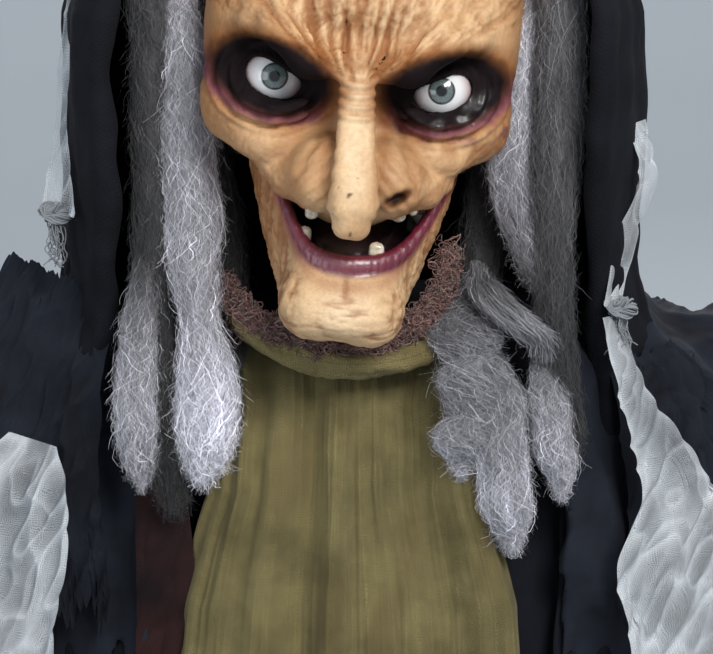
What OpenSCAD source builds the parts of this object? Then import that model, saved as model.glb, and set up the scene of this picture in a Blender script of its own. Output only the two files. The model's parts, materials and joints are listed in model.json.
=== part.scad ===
// Life-size animated witch figure on a pole stand.
// Millimetres. The origin is on the floor under the pole, +Z is up and the figure faces -Y.

/* [Stand] */
// Distance from the pole to the end of each base leg
leg_reach = 285; // [240:5:300]
// Outside diameter of the lower pole
pole_d = 25.4; // [24:0.2:27]
// Wall of both pole tubes
pole_wall = 1.6; // [1.2:0.1:1.8]
// Height of the top of the lower pole
lower_pole_top = 700; // [650:10:780]

/* [Figure] */
// Height of the shoulder pivots
shoulder_z = 1385; // [1380:1:1390]
// Distance from the middle to each arm's centre plane
arm_x = 222; // [222:1:232]
// Shoulder pivot to elbow pivot
upper_arm_l = 280; // [270:1:300]
// Elbow pivot to wrist
forearm_l = 225; // [220:1:240]
// Clearance of the robe's hem above the floor
hem_z = 45; // [40:5:80]

/* [Head] */
// Height of the eyes
eye_z = 1570; // [1568:1:1574]
// How far the eyes stand in front of the pole
eye_y = 85; // [83:1:87]
// Half the distance between the eyes
eye_half_gap = 37; // [35:0.5:38]
// Sideways lean of the head, in degrees
head_roll = 5; // [0:1:6]
// Where the vertical neck axis stands in front of the pole
neck_y = 55; // [54:1:56]

/* [Drives] */
// Tooth size of the plastic gears
gear_module = 0.8; // [0.8:0.1:0.8]
// Teeth on the motor pinions
pinion_teeth = 14; // [14:1:14]
// Teeth on the driven gears
wheel_teeth = 56; // [56:1:56]

/* [Hidden] */
$fn = 48;
run = 0.05;            // radial running clearance
cut = 1;               // overshoot of a cutting solid
pole_r = pole_d / 2;
upper_r = pole_r - pole_wall - 0.2;
hub_r = 34;
leg_r = 9.5;
leg_z = 14;
snap_z = 660;
frame_top = 1395;
spine_top = 1371;
axle_r = 6;
elbow_r = 5;
right_upper_angle = 30;
right_forearm_angle = 110;
left_upper_angle = 15;
left_forearm_angle = 95;
shaft_r = 4;
bush_r = 8;
motor_shaft_r = 1.5;
case_z = 1390;
case_r = 40;
case_h = 45;
case_floor = 8;
gear_z = case_z + 22;
gear_t = 5;
gear_gap = gear_module * (pinion_teeth + wheel_teeth) / 2;
jaw_pivot = [0, 5, -22];
jaw_gear_x = 25;
jaw_ear_x = 39;
jaw_arm_x = 32;
jaw_arm_slope = 38;
mask_wall = 4;
lip_z = -48;
mouth_z = -50;
mouth_r = 32;
jaw_mesh_angle = 60;
black_cloth = [0.05, 0.05, 0.07];
olive = [0.47, 0.44, 0.28];
skin = [0.85, 0.67, 0.50];
gauze_white = [0.78, 0.80, 0.82];
hair_grey = [0.50, 0.50, 0.54];
steel = [0.55, 0.56, 0.58];
moulding = [0.13, 0.13, 0.14];

// Horizontal sections, from the bottom up: height, centre y, half width, half depth
robe_sections = [[hem_z, 0, 320, 290], [250, 0, 280, 250], [520, 0, 238, 205], [800, -5, 198, 165],
    [1000, -8, 172, 138], [1150, -10, 168, 128], [1300, -12, 170, 122], [1400, -14, 172, 112],
    [1440, -15, 158, 98], [1462, -16, 120, 84], [1472, -18, 84, 70]];
cape_sections = concat(between(robe_sections, 1150, 1462), [[1476, -18, 84, 70]]);
hood_sections = [[1480, -70, 132, 122], [1540, -75, 134, 128], [1600, -72, 131, 128],
    [1660, -65, 112, 112], [1705, -55, 76, 80], [1730, -45, 34, 38], [1738, -42, 7, 8]];
sleeve_sections = [[-214, 0, 38, 40], [-120, 0, 37, 40], [-40, 0, 37, 40], [0, 0, 37, 40],
    [22, 0, 31, 33], [36, 0, 16, 17]];
cuff_sections = [[-205, 0, 60, 64], [-150, 0, 46, 50], [-95, 0, 37, 38], [-62, 0, 33, 32]];
mask_sections = [[-48, -19, 56, 66], [-40, -19, 62, 67], [-30, -19, 66, 67], [-20, -19, 69, 67],
    [-10, -19, 71, 67], [0, -19, 72.5, 67], [10, -19, 73.5, 67], [20, -19, 74, 67], [30, -19, 74, 66],
    [42, -19, 74, 64], [56, -19, 72, 60], [70, -19, 68, 54], [84, -19, 62, 45], [98, -19, 54, 33],
    [110, -19, 45, 20]];
jaw_sections = [[-114, -90, 6, 8], [-112, -86, 14, 14], [-106, -80, 21, 21], [-98, -72, 26, 29],
    [-91, -64, 30, 36], [-84, -56, 34, 42], [-77, -46, 38, 50], [-70, -36, 42, 58], [-64, -28, 45, 64],
    [-58, -20, 48, 70]];

// Swellings and hollows of the face: centre x, centre z, spread in x, spread in z, height
face_features = [[0, -16, 10, 30, 16], [-46, -34, 17, 14, 17], [46, -34, 17, 14, 17],
    [-35, 1, 14, 11, -13], [35, 1, 14, 11, -13], [-24, 19, 20, 7, 7], [24, 19, 20, 7, 7],
    [0, 10, 6, 12, -4]];

// ---------- lofted shells ----------

// Depth of the cloth folds, which fade out towards the waist
function fold(z) = 13 * max(0, (1150 - z) / 1100);

// One outline of a section, grown by g, over the angles a0 to a1
function outline(s, g, a0, a1, n, folds = 0) =
    [for (i = [0 : n]) let (a = a0 + (a1 - a0) * i / n, w = g + folds * fold(s[0]) * cos(9 * a))
        [(s[2] + w) * cos(a), s[1] + (s[3] + w) * sin(a), s[0]]];

// The same sections between two heights
function between(sections, low, high) = [for (s = sections) if (s[0] >= low && s[0] <= high) s];

// How far the face stands out at a point of its front
function face_relief(x, z) = let (h = [for (f = face_features)
    f[4] * exp(-pow((x - f[0]) / f[2], 2) - pow((z - f[1]) / f[3], 2))]) h * [for (v = h) 1];

// A closed shell between two equal grids of points; wrap joins the last column to the first
module sheet(outer, inner, wrap = false) {
    rows = len(outer);
    cols = len(outer[0]);
    count = rows * cols;
    last = wrap ? cols - 1 : cols - 2;
    top = rows - 1;
    function at(r, c) = r * cols + c % cols;
    outer_faces = [for (r = [0 : rows - 2]) for (c = [0 : last])
        [at(r, c), at(r + 1, c), at(r + 1, c + 1), at(r, c + 1)]];
    inner_faces = [for (f = outer_faces) [for (k = [3 : -1 : 0]) f[k] + count]];
    low_rim = [for (c = [0 : last]) [at(0, c), at(0, c + 1), at(0, c + 1) + count, at(0, c) + count]];
    top_rim = [for (c = [0 : last])
        [at(top, c + 1), at(top, c), at(top, c) + count, at(top, c + 1) + count]];
    first_rim = [for (r = [0 : rows - 2]) let (p = at(r, 0), q = at(r + 1, 0)) [q, p, p + count, q + count]];
    last_rim = [for (r = [0 : rows - 2]) let (p = at(r, cols - 1), q = at(r + 1, cols - 1))
        [p, q, q + count, p + count]];
    polyhedron([for (row = outer) each row, for (row = inner) each row],
        concat(outer_faces, inner_faces, low_rim, top_rim, wrap ? [] : first_rim, wrap ? [] : last_rim),
        convexity = 6);
}

// Cloth over part of the way round, between the offsets inner and outer
module cloth(sections, inner, outer, a0, a1, n)
    sheet([for (s = sections) outline(s, outer, a0, a1, n, 1)],
        [for (s = sections) outline(s, inner, a0, a1, n, 1)]);

// Cloth all the way round
module cloth_ring(sections, inner, outer, n, folds = 0) {
    last = 360 - 360 / n;
    sheet([for (s = sections) outline(s, outer, 0, last, n - 1, folds)],
        [for (s = sections) outline(s, inner, 0, last, n - 1, folds)], true);
}

// Faces of a solid made of rings of n points, ordered along its length
function ring_faces(rows, n) = concat(
    [for (r = [0 : rows - 2]) for (i = [0 : n - 1])
        [r * n + i, (r + 1) * n + i, (r + 1) * n + (i + 1) % n, r * n + (i + 1) % n]],
    [[for (i = [0 : n - 1]) i]],
    [[for (i = [n - 1 : -1 : 0]) (rows - 1) * n + i]]);

// A lock of hair through knots of [x, y, z, half width, half depth], from the bottom up
module lock(knots, n = 12)
    polyhedron([for (k = knots) for (i = [0 : n - 1]) let (a = 360 * i / n)
        [k[0] + k[3] * cos(a), k[1] + k[4] * sin(a), k[2]]], ring_faces(len(knots), n), convexity = 4);

function unit(v) = v / norm(v);

// A round cord of radius r through a path that never runs along the direction up
module cord(path, r, up, n = 12) {
    last = len(path) - 1;
    along = [for (k = [0 : last]) unit(path[min(k + 1, last)] - path[max(k - 1, 0)])];
    across = [for (w = along) unit(cross(up, w))];
    polyhedron([for (k = [0 : last]) for (i = [0 : n - 1]) let (a = 360 * i / n)
        path[k] + r * (cos(a) * across[k] + sin(a) * cross(along[k], across[k]))],
        ring_faces(last + 1, n), convexity = 4);
}

// ---------- helpers ----------

module tube(outer, inner, h) {
    difference() {
        cylinder(r = outer, h = h);
        translate([0, 0, -cut]) cylinder(r = inner, h = h + 2 * cut);
    }
}

// A cylinder along +X that starts at x
module x_cylinder(x, r, l) translate([x, 0, 0]) rotate([0, 90, 0]) cylinder(r = r, h = l);

// Children drawn in the head's own frame, whose origin is midway between the eyes
module in_head() translate([0, -eye_y, eye_z]) rotate([0, head_roll, 0]) children();

module ball(p, r, squash = [1, 1, 1]) translate(p) scale(squash) sphere(r = r, $fn = 24);

// Outline of an involute gear with a tooth centred on +X
function involute(base, r) = let (a = acos(base / r)) tan(a) * 180 / PI - a;
module gear_outline(teeth) {
    pressure = 25;
    thin = 0.12;
    pitch_r = gear_module * teeth / 2;
    base = pitch_r * cos(pressure);
    tip = pitch_r + 0.9 * gear_module;
    root = pitch_r - 1.25 * gear_module;
    half = 90 / teeth - thin / pitch_r * 180 / PI / 2 + involute(base, pitch_r);
    foot = max(base, root);
    steps = 4;
    flank = [for (k = [0 : steps]) let (r = foot + (tip - foot) * k / steps) [r, half - involute(base, r)]];
    tooth = concat([[root, half]], flank, [for (k = [steps : -1 : 0]) [flank[k][0], -flank[k][1]]],
        [[root, -half]]);
    polygon([for (t = [0 : teeth - 1]) for (k = [len(tooth) - 1 : -1 : 0])
        let (a = 360 * t / teeth + tooth[k][1]) tooth[k][0] * [cos(a), sin(a)]]);
}

module gear_blank(teeth, thickness, turn) rotate([0, 0, turn]) linear_extrude(thickness) gear_outline(teeth);

module gear(teeth, bore, thickness, turn) difference() {
    gear_blank(teeth, thickness, turn);
    translate([0, 0, -cut]) cylinder(r = bore, h = thickness + 2 * cut);
}

module pinion_solid(turn) gear(pinion_teeth, motor_shaft_r + 0.02, gear_t + 2, turn + 180 / pinion_teeth);

module can_motor(body_l, shaft_l) {
    cylinder(r = 11, h = body_l);
    translate([0, 0, body_l]) cylinder(r = 3.5, h = 2);
    translate([0, 0, body_l + 2]) cylinder(r = motor_shaft_r, h = shaft_l);
}

// ---------- stand ----------

module base_hub() {
    flange_r = 60;
    hole_circle_r = 48;
    color(moulding) difference() {
        union() {
            cylinder(r = flange_r, h = 4, $fn = 64);
            translate([0, 0, 4]) cylinder(r = hub_r, h = 66);
        }
        translate([0, 0, 30]) cylinder(r = pole_r + run, h = 60);
        for (a = [0, 90, 180, 270]) rotate([0, 0, a]) {
            translate([16, 0, leg_z]) rotate([0, 90, 0]) cylinder(r = leg_r + run, h = 60);
            rotate([0, 0, 45]) translate([hole_circle_r, 0, -cut]) cylinder(r = 2.75, h = 8, $fn = 32);
            translate([25, 0, leg_z]) cylinder(r = 2.6, h = 80, $fn = 32);
        }
    }
}

module base_legs() color(steel) for (a = [0, 90, 180, 270]) rotate([0, 0, a]) difference() {
    translate([17, 0, leg_z]) rotate([0, 90, 0]) tube(leg_r, leg_r - 1.5, leg_reach - 17);
    translate([25, 0, leg_z]) cylinder(r = 2.6, h = 20, $fn = 32);
}

module foot_caps() color(moulding) for (a = [0, 90, 180, 270]) rotate([0, 0, a]) difference() {
    union() {
        translate([leg_reach - 28, 0, leg_z]) rotate([0, 90, 0]) cylinder(r = 13, h = 34);
        translate([leg_reach - 28, -12, 0]) cube([34, 24, 8]);
    }
    translate([leg_reach - 40, 0, leg_z]) rotate([0, 90, 0]) cylinder(r = leg_r + run, h = 40);
}

// A machine screw through each leg, with its head above the hub
module leg_screws() color(steel) for (a = [0, 90, 180, 270]) rotate([0, 0, a]) translate([25, 0, 0]) {
    translate([0, 0, leg_z + 2]) cylinder(r = 2.5, h = 54, $fn = 32);
    translate([0, 0, 70]) cylinder(r = 4.5, h = 3, $fn = 32);
}

module snap_hole(clearance) translate([0, -5, snap_z]) rotate([90, 0, 0]) cylinder(r = 4 + clearance, h = 20);

module lower_pole() color(steel) difference() {
    translate([0, 0, 30]) tube(pole_r, pole_r - pole_wall, lower_pole_top - 30);
    snap_hole(run);
}

module upper_pole() color(steel) difference() {
    translate([0, 0, 620]) tube(upper_r, upper_r - pole_wall, spine_top - 620);
    snap_hole(run);
}

module snap_button() color(steel) translate([0, 0, snap_z]) rotate([90, 0, 0]) {
    translate([0, 0, upper_r - pole_wall - 1]) cylinder(r = 4, h = 7);
}

// Welded frame that holds both shoulders and the neck drive
module shoulder_frame() color(steel) {
    arm_z = 1340;
    difference() {
        translate([0, 0, arm_z]) cylinder(r = 15, h = frame_top - arm_z);
        translate([0, 0, arm_z - cut]) cylinder(r = upper_r + run, h = spine_top + 1 - arm_z + cut);
    }
    for (m = [0, 1]) mirror([m, 0, 0]) translate([0, 0, shoulder_z]) {
        x_cylinder(10, 8, arm_x - 22.5);
        x_cylinder(arm_x - 18, axle_r, 40);
    }
    translate([-8, -neck_y - 8, arm_z]) cube([16, neck_y - 4.5, 16]);
    translate([0, -neck_y, arm_z + 10]) cylinder(r = upper_r, h = 36);
}

module shoulder_nuts() color(steel) for (m = [0, 1]) mirror([m, 0, 0]) {
    translate([arm_x + 12.5, 0, shoulder_z]) rotate([0, 90, 0]) difference() {
        cylinder(r = 10, h = 7, $fn = 6);
        translate([0, 0, -cut]) cylinder(r = axle_r + run, h = 20);
    }
}

// ---------- control box ----------

box_w = 110;
box_d = 46;
box_h = 140;
box_z = 430;
box_y = 22;
box_wall = 3;
cover_t = 4;
door_w = 64;
door_h = 52;
door_t = 2.5;
door_z = box_z + 10;
knob_z = box_z + 100;
switch_z = box_z + 70;
button_z = box_z + 122;
jack_z = box_z + 30;
box_back = box_y + box_d;

module control_box() color(moulding) difference() {
    union() {
        translate([-box_w / 2, box_y, box_z]) cube([box_w, box_d, box_h]);
        for (z = [box_z + 10, box_z + box_h - 30]) translate([-20, -20, z]) cube([40, box_y + 21, 20]);
    }
    translate([-box_w / 2 + box_wall, box_y + box_wall, box_z + box_wall])
        cube([box_w - 2 * box_wall, box_d, box_h - 2 * box_wall]);
    translate([0, 0, box_z - cut]) cylinder(r = pole_r + run, h = box_h + 2 * cut);
    translate([-box_w / 2 - cut, box_y + 20, knob_z]) rotate([0, 90, 0]) cylinder(r = 3.1, h = 10, $fn = 32);
    translate([-box_w / 2 - cut, box_y + 16, switch_z - 6]) cube([10, 8, 14]);
    translate([box_w / 2 - 5, box_y + 22, jack_z]) rotate([0, 90, 0]) cylinder(r = 2.85, h = 10, $fn = 32);
    translate([12, box_y + 12, box_z + box_h - 5]) cylinder(r = 3.2, h = 10, $fn = 32);
}

module control_box_cover() color(moulding) difference() {
    translate([-box_w / 2, box_back, box_z]) cube([box_w, cover_t, box_h]);
    translate([-door_w / 2 - 0.3, box_back + cover_t - door_t, box_z - cut])
        cube([door_w + 0.6, door_t + cut, door_z - box_z + door_h + cut + 0.3]);
    translate([-door_w / 2 + 6, box_back - cut, door_z + 4]) cube([door_w - 12, 10, door_h - 10]);
    for (r = [0, 5.5, 11, 16.5], a = [0 : 45 : 315])
        if (r > 0 || a == 0) translate([r * cos(a), box_back - cut, box_z + 96 + r * sin(a)])
            rotate([-90, 0, 0]) cylinder(r = 1.5, h = 10, $fn = 16);
    translate([36, box_back - cut, button_z]) rotate([-90, 0, 0]) cylinder(r = 5.1, h = 10, $fn = 32);
}

module battery_door() color(moulding) difference() {
    translate([-door_w / 2, box_back + cover_t - door_t + 0.1, door_z]) cube([door_w, door_t - 0.1, door_h]);
    for (z = [8 : 4 : 20]) translate([-12, box_back + cover_t - 0.8, door_z + z]) cube([24, 2, 1.6]);
}

module power_switch() color([0.75, 0.1, 0.1]) translate([-box_w / 2 - 4, box_y + 17, switch_z - 5])
    cube([box_wall + 5, 6, 6]);

module volume_knob() color(moulding) translate([-box_w / 2, box_y + 20, knob_z]) rotate([0, -90, 0]) {
    translate([0, 0, -box_wall - 2]) cylinder(r = 3, h = box_wall + 3, $fn = 32);
    difference() {
        translate([0, 0, 1]) cylinder(r = 9, h = 9);
        translate([4, -0.8, 9]) cube([6, 1.6, 2]);
    }
}

module test_button() color([0.75, 0.1, 0.1]) translate([36, box_back, button_z]) rotate([-90, 0, 0]) {
    translate([0, 0, -2]) cylinder(r = 7, h = 2, $fn = 32);
    cylinder(r = 5, h = 8, $fn = 32);
}

module speaker() color([0.3, 0.3, 0.32]) translate([0, box_back - 0.5, box_z + 96]) rotate([90, 0, 0]) {
    tube(26, 22, 4);
    difference() {
        translate([0, 0, 2]) cylinder(r1 = 22.5, r2 = 9, h = 12);
        translate([0, 0, 1]) cylinder(r1 = 22.3, r2 = 8, h = 12);
    }
    translate([0, 0, 14]) cylinder(r = 13, h = 8);
}

module batteries() color([0.75, 0.55, 0.2]) for (k = [-1 : 1])
    translate([k * 15.5, box_back - 12, door_z + 1]) {
        cylinder(r = 7.1, h = 48);
        translate([0, 0, 48]) cylinder(r = 2.6, h = 1.2, $fn = 24);
    }

module circuit_board() color([0.1, 0.4, 0.2]) {
    translate([-45, box_y + 8, box_z + 8]) cube([90, 1.6, 120]);
    translate([-20, box_y + 9.6, box_z + 40]) cube([22, 2.5, 16]);
    translate([30, box_y + 9.6, box_z + 84]) cube([10, 8, 10]);
}

// Cable from the box up the pole to the neck motor
module signal_cable() color(moulding) cord([[12, box_y + 12, box_z + box_h - 8],
    [12, box_y + 12, box_z + box_h + 8], [14, 32, box_z + box_h + 40], [18, 18, 680], [18, 16, 740],
    [18, 16, 1200], [19, 14, 1240], [24, -4, 1295], [28, -30, 1330], [28, -neck_y, 1354]], 2.5, [1, 0, 0]);

// ---------- neck drive ----------

module neck_case() color(moulding) translate([0, -neck_y, case_z]) difference() {
    union() {
        cylinder(r = case_r, h = case_h);
        translate([0, 0, -30]) cylinder(r = 16, h = 30);
    }
    translate([0, 0, case_floor]) cylinder(r = case_r - 4, h = case_h);
    translate([0, 0, -30 - cut]) cylinder(r = upper_r + run, h = 30 + cut - 3);
    translate([0, 0, -2]) cylinder(r = bush_r + run, h = 20);
    translate([gear_gap, 0, -cut]) cylinder(r = 3.6, h = 20);
}

module neck_lid() color(moulding) translate([0, -neck_y, case_z + case_h]) tube(case_r, bush_r + run, 4);

module neck_bushes() color([0.72, 0.5, 0.25]) translate([0, -neck_y, 0]) {
    translate([0, 0, case_z - 2]) tube(bush_r, shaft_r + run, 10);
    translate([0, 0, case_z + case_h - 2]) tube(bush_r, shaft_r + run, 6);
}

module neck_motor() color(steel) translate([gear_gap, -neck_y, case_z - 32]) can_motor(32, gear_z - case_z + 5);

module neck_pinion() color([0.9, 0.9, 0.85]) translate([gear_gap, -neck_y, gear_z - 1]) pinion_solid(180);

// Vertical shaft with the plate that carries the head
module neck_shaft() color(steel) translate([0, -neck_y, 0]) {
    translate([0, 0, case_z]) cylinder(r = shaft_r, h = eye_z - 66 - case_z);
    translate([0, 0, eye_z - 66]) cylinder(r = 22, h = 4);
}

module neck_gear() color([0.9, 0.9, 0.85]) translate([0, -neck_y, gear_z])
    gear(wheel_teeth, shaft_r, gear_t, 0);

// ---------- head ----------

// Plate, jaw ears and motor post that carry everything in the head
module head_chassis() color(moulding) {
    translate([0, -neck_y, eye_z - 62]) cylinder(r = 22, h = 6);
    in_head() {
        translate([-jaw_ear_x - 4, -4, -58]) cube([2 * jaw_ear_x + 8, 56, 6]);
        for (m = [0, 1]) mirror([m, 0, 0]) difference() {
            union() {
                translate(jaw_pivot) x_cylinder(jaw_ear_x, 8, 4);
                translate([jaw_ear_x, jaw_pivot[1] - 7, -55]) cube([4, 14, 55 + jaw_pivot[2]]);
            }
            translate(jaw_pivot) x_cylinder(30, 2.5 + run, 20);
        }
        difference() {
            translate([-12, 8, -55]) cube([24, 24, 75]);
            translate(jaw_motor_axis) x_cylinder(-20, 11 + run, 40);
        }
    }
}

skull_centre = [0, 10, 30];
skull_size = [78, 98, 105];
skull_bottom = -40;

module skull_shell() color(moulding) in_head() difference() {
    ball(skull_centre, 1, skull_size);
    ball(skull_centre, 1, skull_size - [4, 4, 4]);
    translate([-100, -130, -100]) cube([200, 130 + mask_sections[0][1] + 1, 300]);
    translate([-100, -130, -100]) cube([200, 300, 100 + skull_bottom]);
}

// Grid of points on the face, grown by g
function mask_grid(g) = [for (s = mask_sections) [for (p = outline(s, g, 180, 360, 40))
    p - [0, face_relief(p[0], p[2]), 0]]];

module nose_form() {
    hull() {
        ball([0, -84, 2], 7);
        ball([0, -103, -30], 10);
    }
    hull() {
        ball([0, -103, -30], 10);
        ball([-2, -112, -58], 10);
    }
    for (m = [-1, 1]) hull() {
        ball([0, -98, -40], 8);
        ball([m * 13, -92, -46], 7);
    }
}

// Upper half of the face, from the hairline to the upper lip
module face_mask() color(skin) in_head() {
    difference() {
        sheet(mask_grid(0), mask_grid(-mask_wall));
        for (m = [-1, 1]) translate([m * eye_half_gap, -120, 0]) rotate([-90, 0, 0])
            cylinder(r = 15.5, h = 100, $fn = 32);
    }
    nose_form();
}

eye_centre_y = -60;
dome_r = 14.5;
dome_wall = 2;
holder_y = -50;

// Clear front domes with a short skirt, painted as eyes from behind
module eye_domes() color([0.9, 0.9, 0.88]) in_head() for (m = [-1, 1])
    translate([m * eye_half_gap, eye_centre_y, 0]) rotate([90, 0, 0]) {
        rotate_extrude() intersection() {
            difference() {
                circle(r = dome_r);
                circle(r = dome_r - dome_wall);
            }
            square(20);
        }
        translate([0, 0, -14]) tube(dome_r, dome_r - dome_wall, 14);
    }

module eye_leds() color([0.4, 0.9, 0.5]) in_head() for (m = [-1, 1])
    translate([m * eye_half_gap, eye_centre_y, 0]) rotate([90, 0, 0]) {
        translate([0, 0, -12]) cylinder(r = 2.5, h = 14, $fn = 24);
        translate([0, 0, -14]) cylinder(r = dome_r - dome_wall - run, h = 2, $fn = 48);
    }

// Bar that holds both eyes, fixed to the motor post
module eye_bracket() color(moulding) in_head() difference() {
    union() {
        translate([-54, holder_y, -17]) cube([108, 3, 37]);
        translate([-6, holder_y, 14]) cube([12, 8 - holder_y, 6]);
    }
    for (m = [-1, 1]) translate([m * eye_half_gap, holder_y - 5, 0]) rotate([-90, 0, 0])
        cylinder(r = dome_r + run, h = 20);
}

// Peg teeth that hang from the edge of the upper lip, at these distances from the middle
module upper_teeth() color([0.8, 0.78, 0.7]) in_head() for (x = [-16, 23, 30])
    translate([x, lip_y(x) - face_relief(x, lip_z), lip_z - 9]) cylinder(r1 = 2.6, r2 = 3.2, h = 9, $fn = 24);

// Middle of the wall at the lip's edge
function lip_y(x) = -19 - 64 * sqrt(1 - pow(x / 54, 2));

// Bottom of a lower tooth, which stands on the rounded edge of the mouth cut
function rim_height(x) = mouth_z - sqrt(pow(mouth_r, 2) - pow(abs(x) + 3, 2));
function rim_y(x) = -47.4 - 46.9 * sqrt(1 - pow(x / 35.4, 2));

module lower_teeth() color([0.8, 0.78, 0.7]) in_head() for (x = [-15, 13])
    translate([x, rim_y(x), rim_height(x)]) cylinder(r1 = 2.9, r2 = 2.5, h = 8, $fn = 24);

// Black backing that closes the inside of the mouth
module mouth_liner() color(black_cloth) in_head() {
    translate([-22, -38, -52]) cube([44, 3, 25]);
    translate([-22, -38, -30]) cube([44, 46, 3]);
}

jaw_motor_axis = jaw_pivot + gear_gap * [0, cos(jaw_mesh_angle), sin(jaw_mesh_angle)];

// Turns the children so that local +Z runs along +X and local +Y points from the jaw pivot to its motor
module along_jaw_axis() rotate([jaw_mesh_angle, 0, 0]) rotate([0, 90, 0]) children();

module jaw_motor() color(steel) in_head() translate(jaw_motor_axis) along_jaw_axis()
    translate([0, 0, -16]) can_motor(32, 15);

module jaw_pinion() color([0.9, 0.9, 0.85]) in_head()
    translate(jaw_motor_axis + [jaw_gear_x - 1, 0, 0]) along_jaw_axis() pinion_solid(-90);

module jaw_pins() color(steel) in_head() translate(jaw_pivot) for (m = [0, 1]) mirror([m, 0, 0]) {
    x_cylinder(jaw_gear_x - 1, 2.5, 5 + jaw_ear_x - jaw_gear_x);
    x_cylinder(jaw_ear_x + 4, 5, 2);
}

// Rigid arms inside the jaw, with the jaw gear moulded on
module jaw_carrier() color([0.9, 0.9, 0.85]) in_head() translate(jaw_pivot) difference() {
    union() {
        for (m = [0, 1]) mirror([m, 0, 0]) {
            x_cylinder(jaw_arm_x - 0.5, 7.5, 7);
            rotate([jaw_arm_slope, 0, 0]) translate([jaw_arm_x, -62, -5]) cube([6, 57, 8]);
        }
        rotate([jaw_arm_slope, 0, 0]) translate([-jaw_arm_x - 1, -61, -4]) cube([2 * jaw_arm_x + 2, 5, 6]);
        translate([jaw_gear_x, 0, 0]) along_jaw_axis() gear_blank(wheel_teeth, gear_t, 90);
        x_cylinder(jaw_gear_x + 1, 6, jaw_arm_x - jaw_gear_x);
    }
    x_cylinder(-50, 2.5 + run, 100);
}

// Lower half of the face: chin, lower lip and jaw sides
module jaw_mask() color(skin) in_head() difference() {
    sheet([for (s = jaw_sections) outline(s, 0, 180, 360, 32)],
        [for (s = jaw_sections) outline(s, -mask_wall, 180, 360, 32)]);
    translate([0, -200, mouth_z]) rotate([-90, 0, 0]) cylinder(r = mouth_r, h = 140);
}

module hood() color(black_cloth) difference() {
    cloth_ring(hood_sections, -4, 0, 36);
    hull() {
        translate([0, -60, 1588]) rotate([90, 0, 0]) cylinder(r = 112, h = 200, $fn = 32);
        translate([-112, -260, 1400]) cube([224, 200, 10]);
    }
}

// Hair that hangs beside the face and moves with the head
module hair_locks() color(hair_grey) for (m = [-1, 1]) {
    lock([[m * 92, -112, 1482, 10, 11], [m * 93, -114, 1520, 12, 12], [m * 92, -112, 1580, 11, 12],
        [m * 88, -106, 1625, 9, 11]]);
    lock([[m * 111, -88, 1482, 7, 11], [m * 113, -86, 1530, 8, 12], [m * 111, -84, 1590, 8, 12],
        [m * 99, -80, 1635, 7, 10]]);
}

// Hair that lies on the chest
module hair_ends() color(hair_grey) for (m = [-1, 1]) {
    lock([[m * 78, -138, 1345, 5, 4], [m * 80, -139, 1362, 14, 9], [m * 83, -138, 1395, 17, 10],
        [m * 88, -134, 1424, 12, 8]]);
    lock([[m * 112, -124, 1356, 5, 4], [m * 112, -125, 1372, 10, 8], [m * 114, -123, 1400, 12, 8],
        [m * 112, -120, 1424, 8, 7]]);
}

// ---------- clothes ----------

// Cuts the way for the shoulder bar
module shoulder_passage() translate([-250, 0, shoulder_z]) rotate([0, 90, 0])
    cylinder(r = 24, h = 500, $fn = 32);

module robe() color(black_cloth) difference() {
    cloth_ring(robe_sections, -5, 0, 72, 1);
    shoulder_passage();
}

module cape() color(black_cloth) difference() {
    cloth(cape_sections, 2, 7, -52, 232, 36);
    shoulder_passage();
}

// Half of the angle the tunic spans at a height: it widens below the collar
function tunic_half(z) = 22 + 14 * min(1, (1462 - z) / 300);
function tunic_grid(g) = [for (s = between(robe_sections, 500, 1462))
    outline(s, g, 270 - tunic_half(s[0]), 270 + tunic_half(s[0]), 20, 1)];

module tunic() color(olive) sheet(tunic_grid(7), tunic_grid(2));

module neck_ruff() color([0.3, 0.2, 0.2])
    cord(outline([1446, -15.3, 147.6, 94.2], 17.5, 239, 301, 18), 8, [0, 0, 1]);

// Torn white gauze: two front panels and one down the back
module gauze_shawl() color(gauze_white) for (span = [[202, 226], [-46, -22], [35, 145]])
    cloth(between(robe_sections, 1000, 1440), 8.5, 11.5, span[0], span[1], span[1] - span[0] > 60 ? 24 : 8);

// ---------- arms ----------

// side is -1 on the figure's right and 1 on its left; angles are measured from straight down
module at_shoulder(side, angle) translate([side * arm_x, 0, shoulder_z]) rotate([-angle, 0, 0]) children();

module at_elbow(side, upper_angle, forearm_angle)
    translate([side * arm_x, -upper_arm_l * sin(upper_angle), shoulder_z - upper_arm_l * cos(upper_angle)])
        rotate([-forearm_angle, 0, 0]) children();

module upper_arm(side, angle) color(steel) at_shoulder(side, angle) difference() {
    union() {
        x_cylinder(-12, 14, 24);
        translate([0, 0, -upper_arm_l]) x_cylinder(side > 0 ? 0.5 : -11.5, 12, 11);
        translate([side * 6, 0, -upper_arm_l + 6]) cylinder(r = 5, h = upper_arm_l - 16);
    }
    x_cylinder(-20, axle_r + run, 40);
    translate([0, 0, -upper_arm_l]) x_cylinder(-20, elbow_r + run, 40);
}

module elbow_bolt(side, angle) color(steel) at_shoulder(side, angle) translate([0, 0, -upper_arm_l]) {
    x_cylinder(-13, elbow_r, 26);
    x_cylinder(13, 8, 4);
    x_cylinder(-17, 8, 4);
}

module forearm(side, upper_angle, forearm_angle) color(steel) at_elbow(side, upper_angle, forearm_angle)
    difference() {
        union() {
            x_cylinder(side > 0 ? -11.5 : 0.5, 12, 11);
            translate([-side * 6, 0, -forearm_l]) cylinder(r = 5, h = forearm_l - 6);
        }
        x_cylinder(-20, elbow_r + run, 40);
    }

// A straight finger bone between two joints
module bone(from, to, r_from, r_to) hull() {
    translate(from) sphere(r = r_from, $fn = 14);
    translate(to) sphere(r = r_to, $fn = 14);
}

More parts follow.
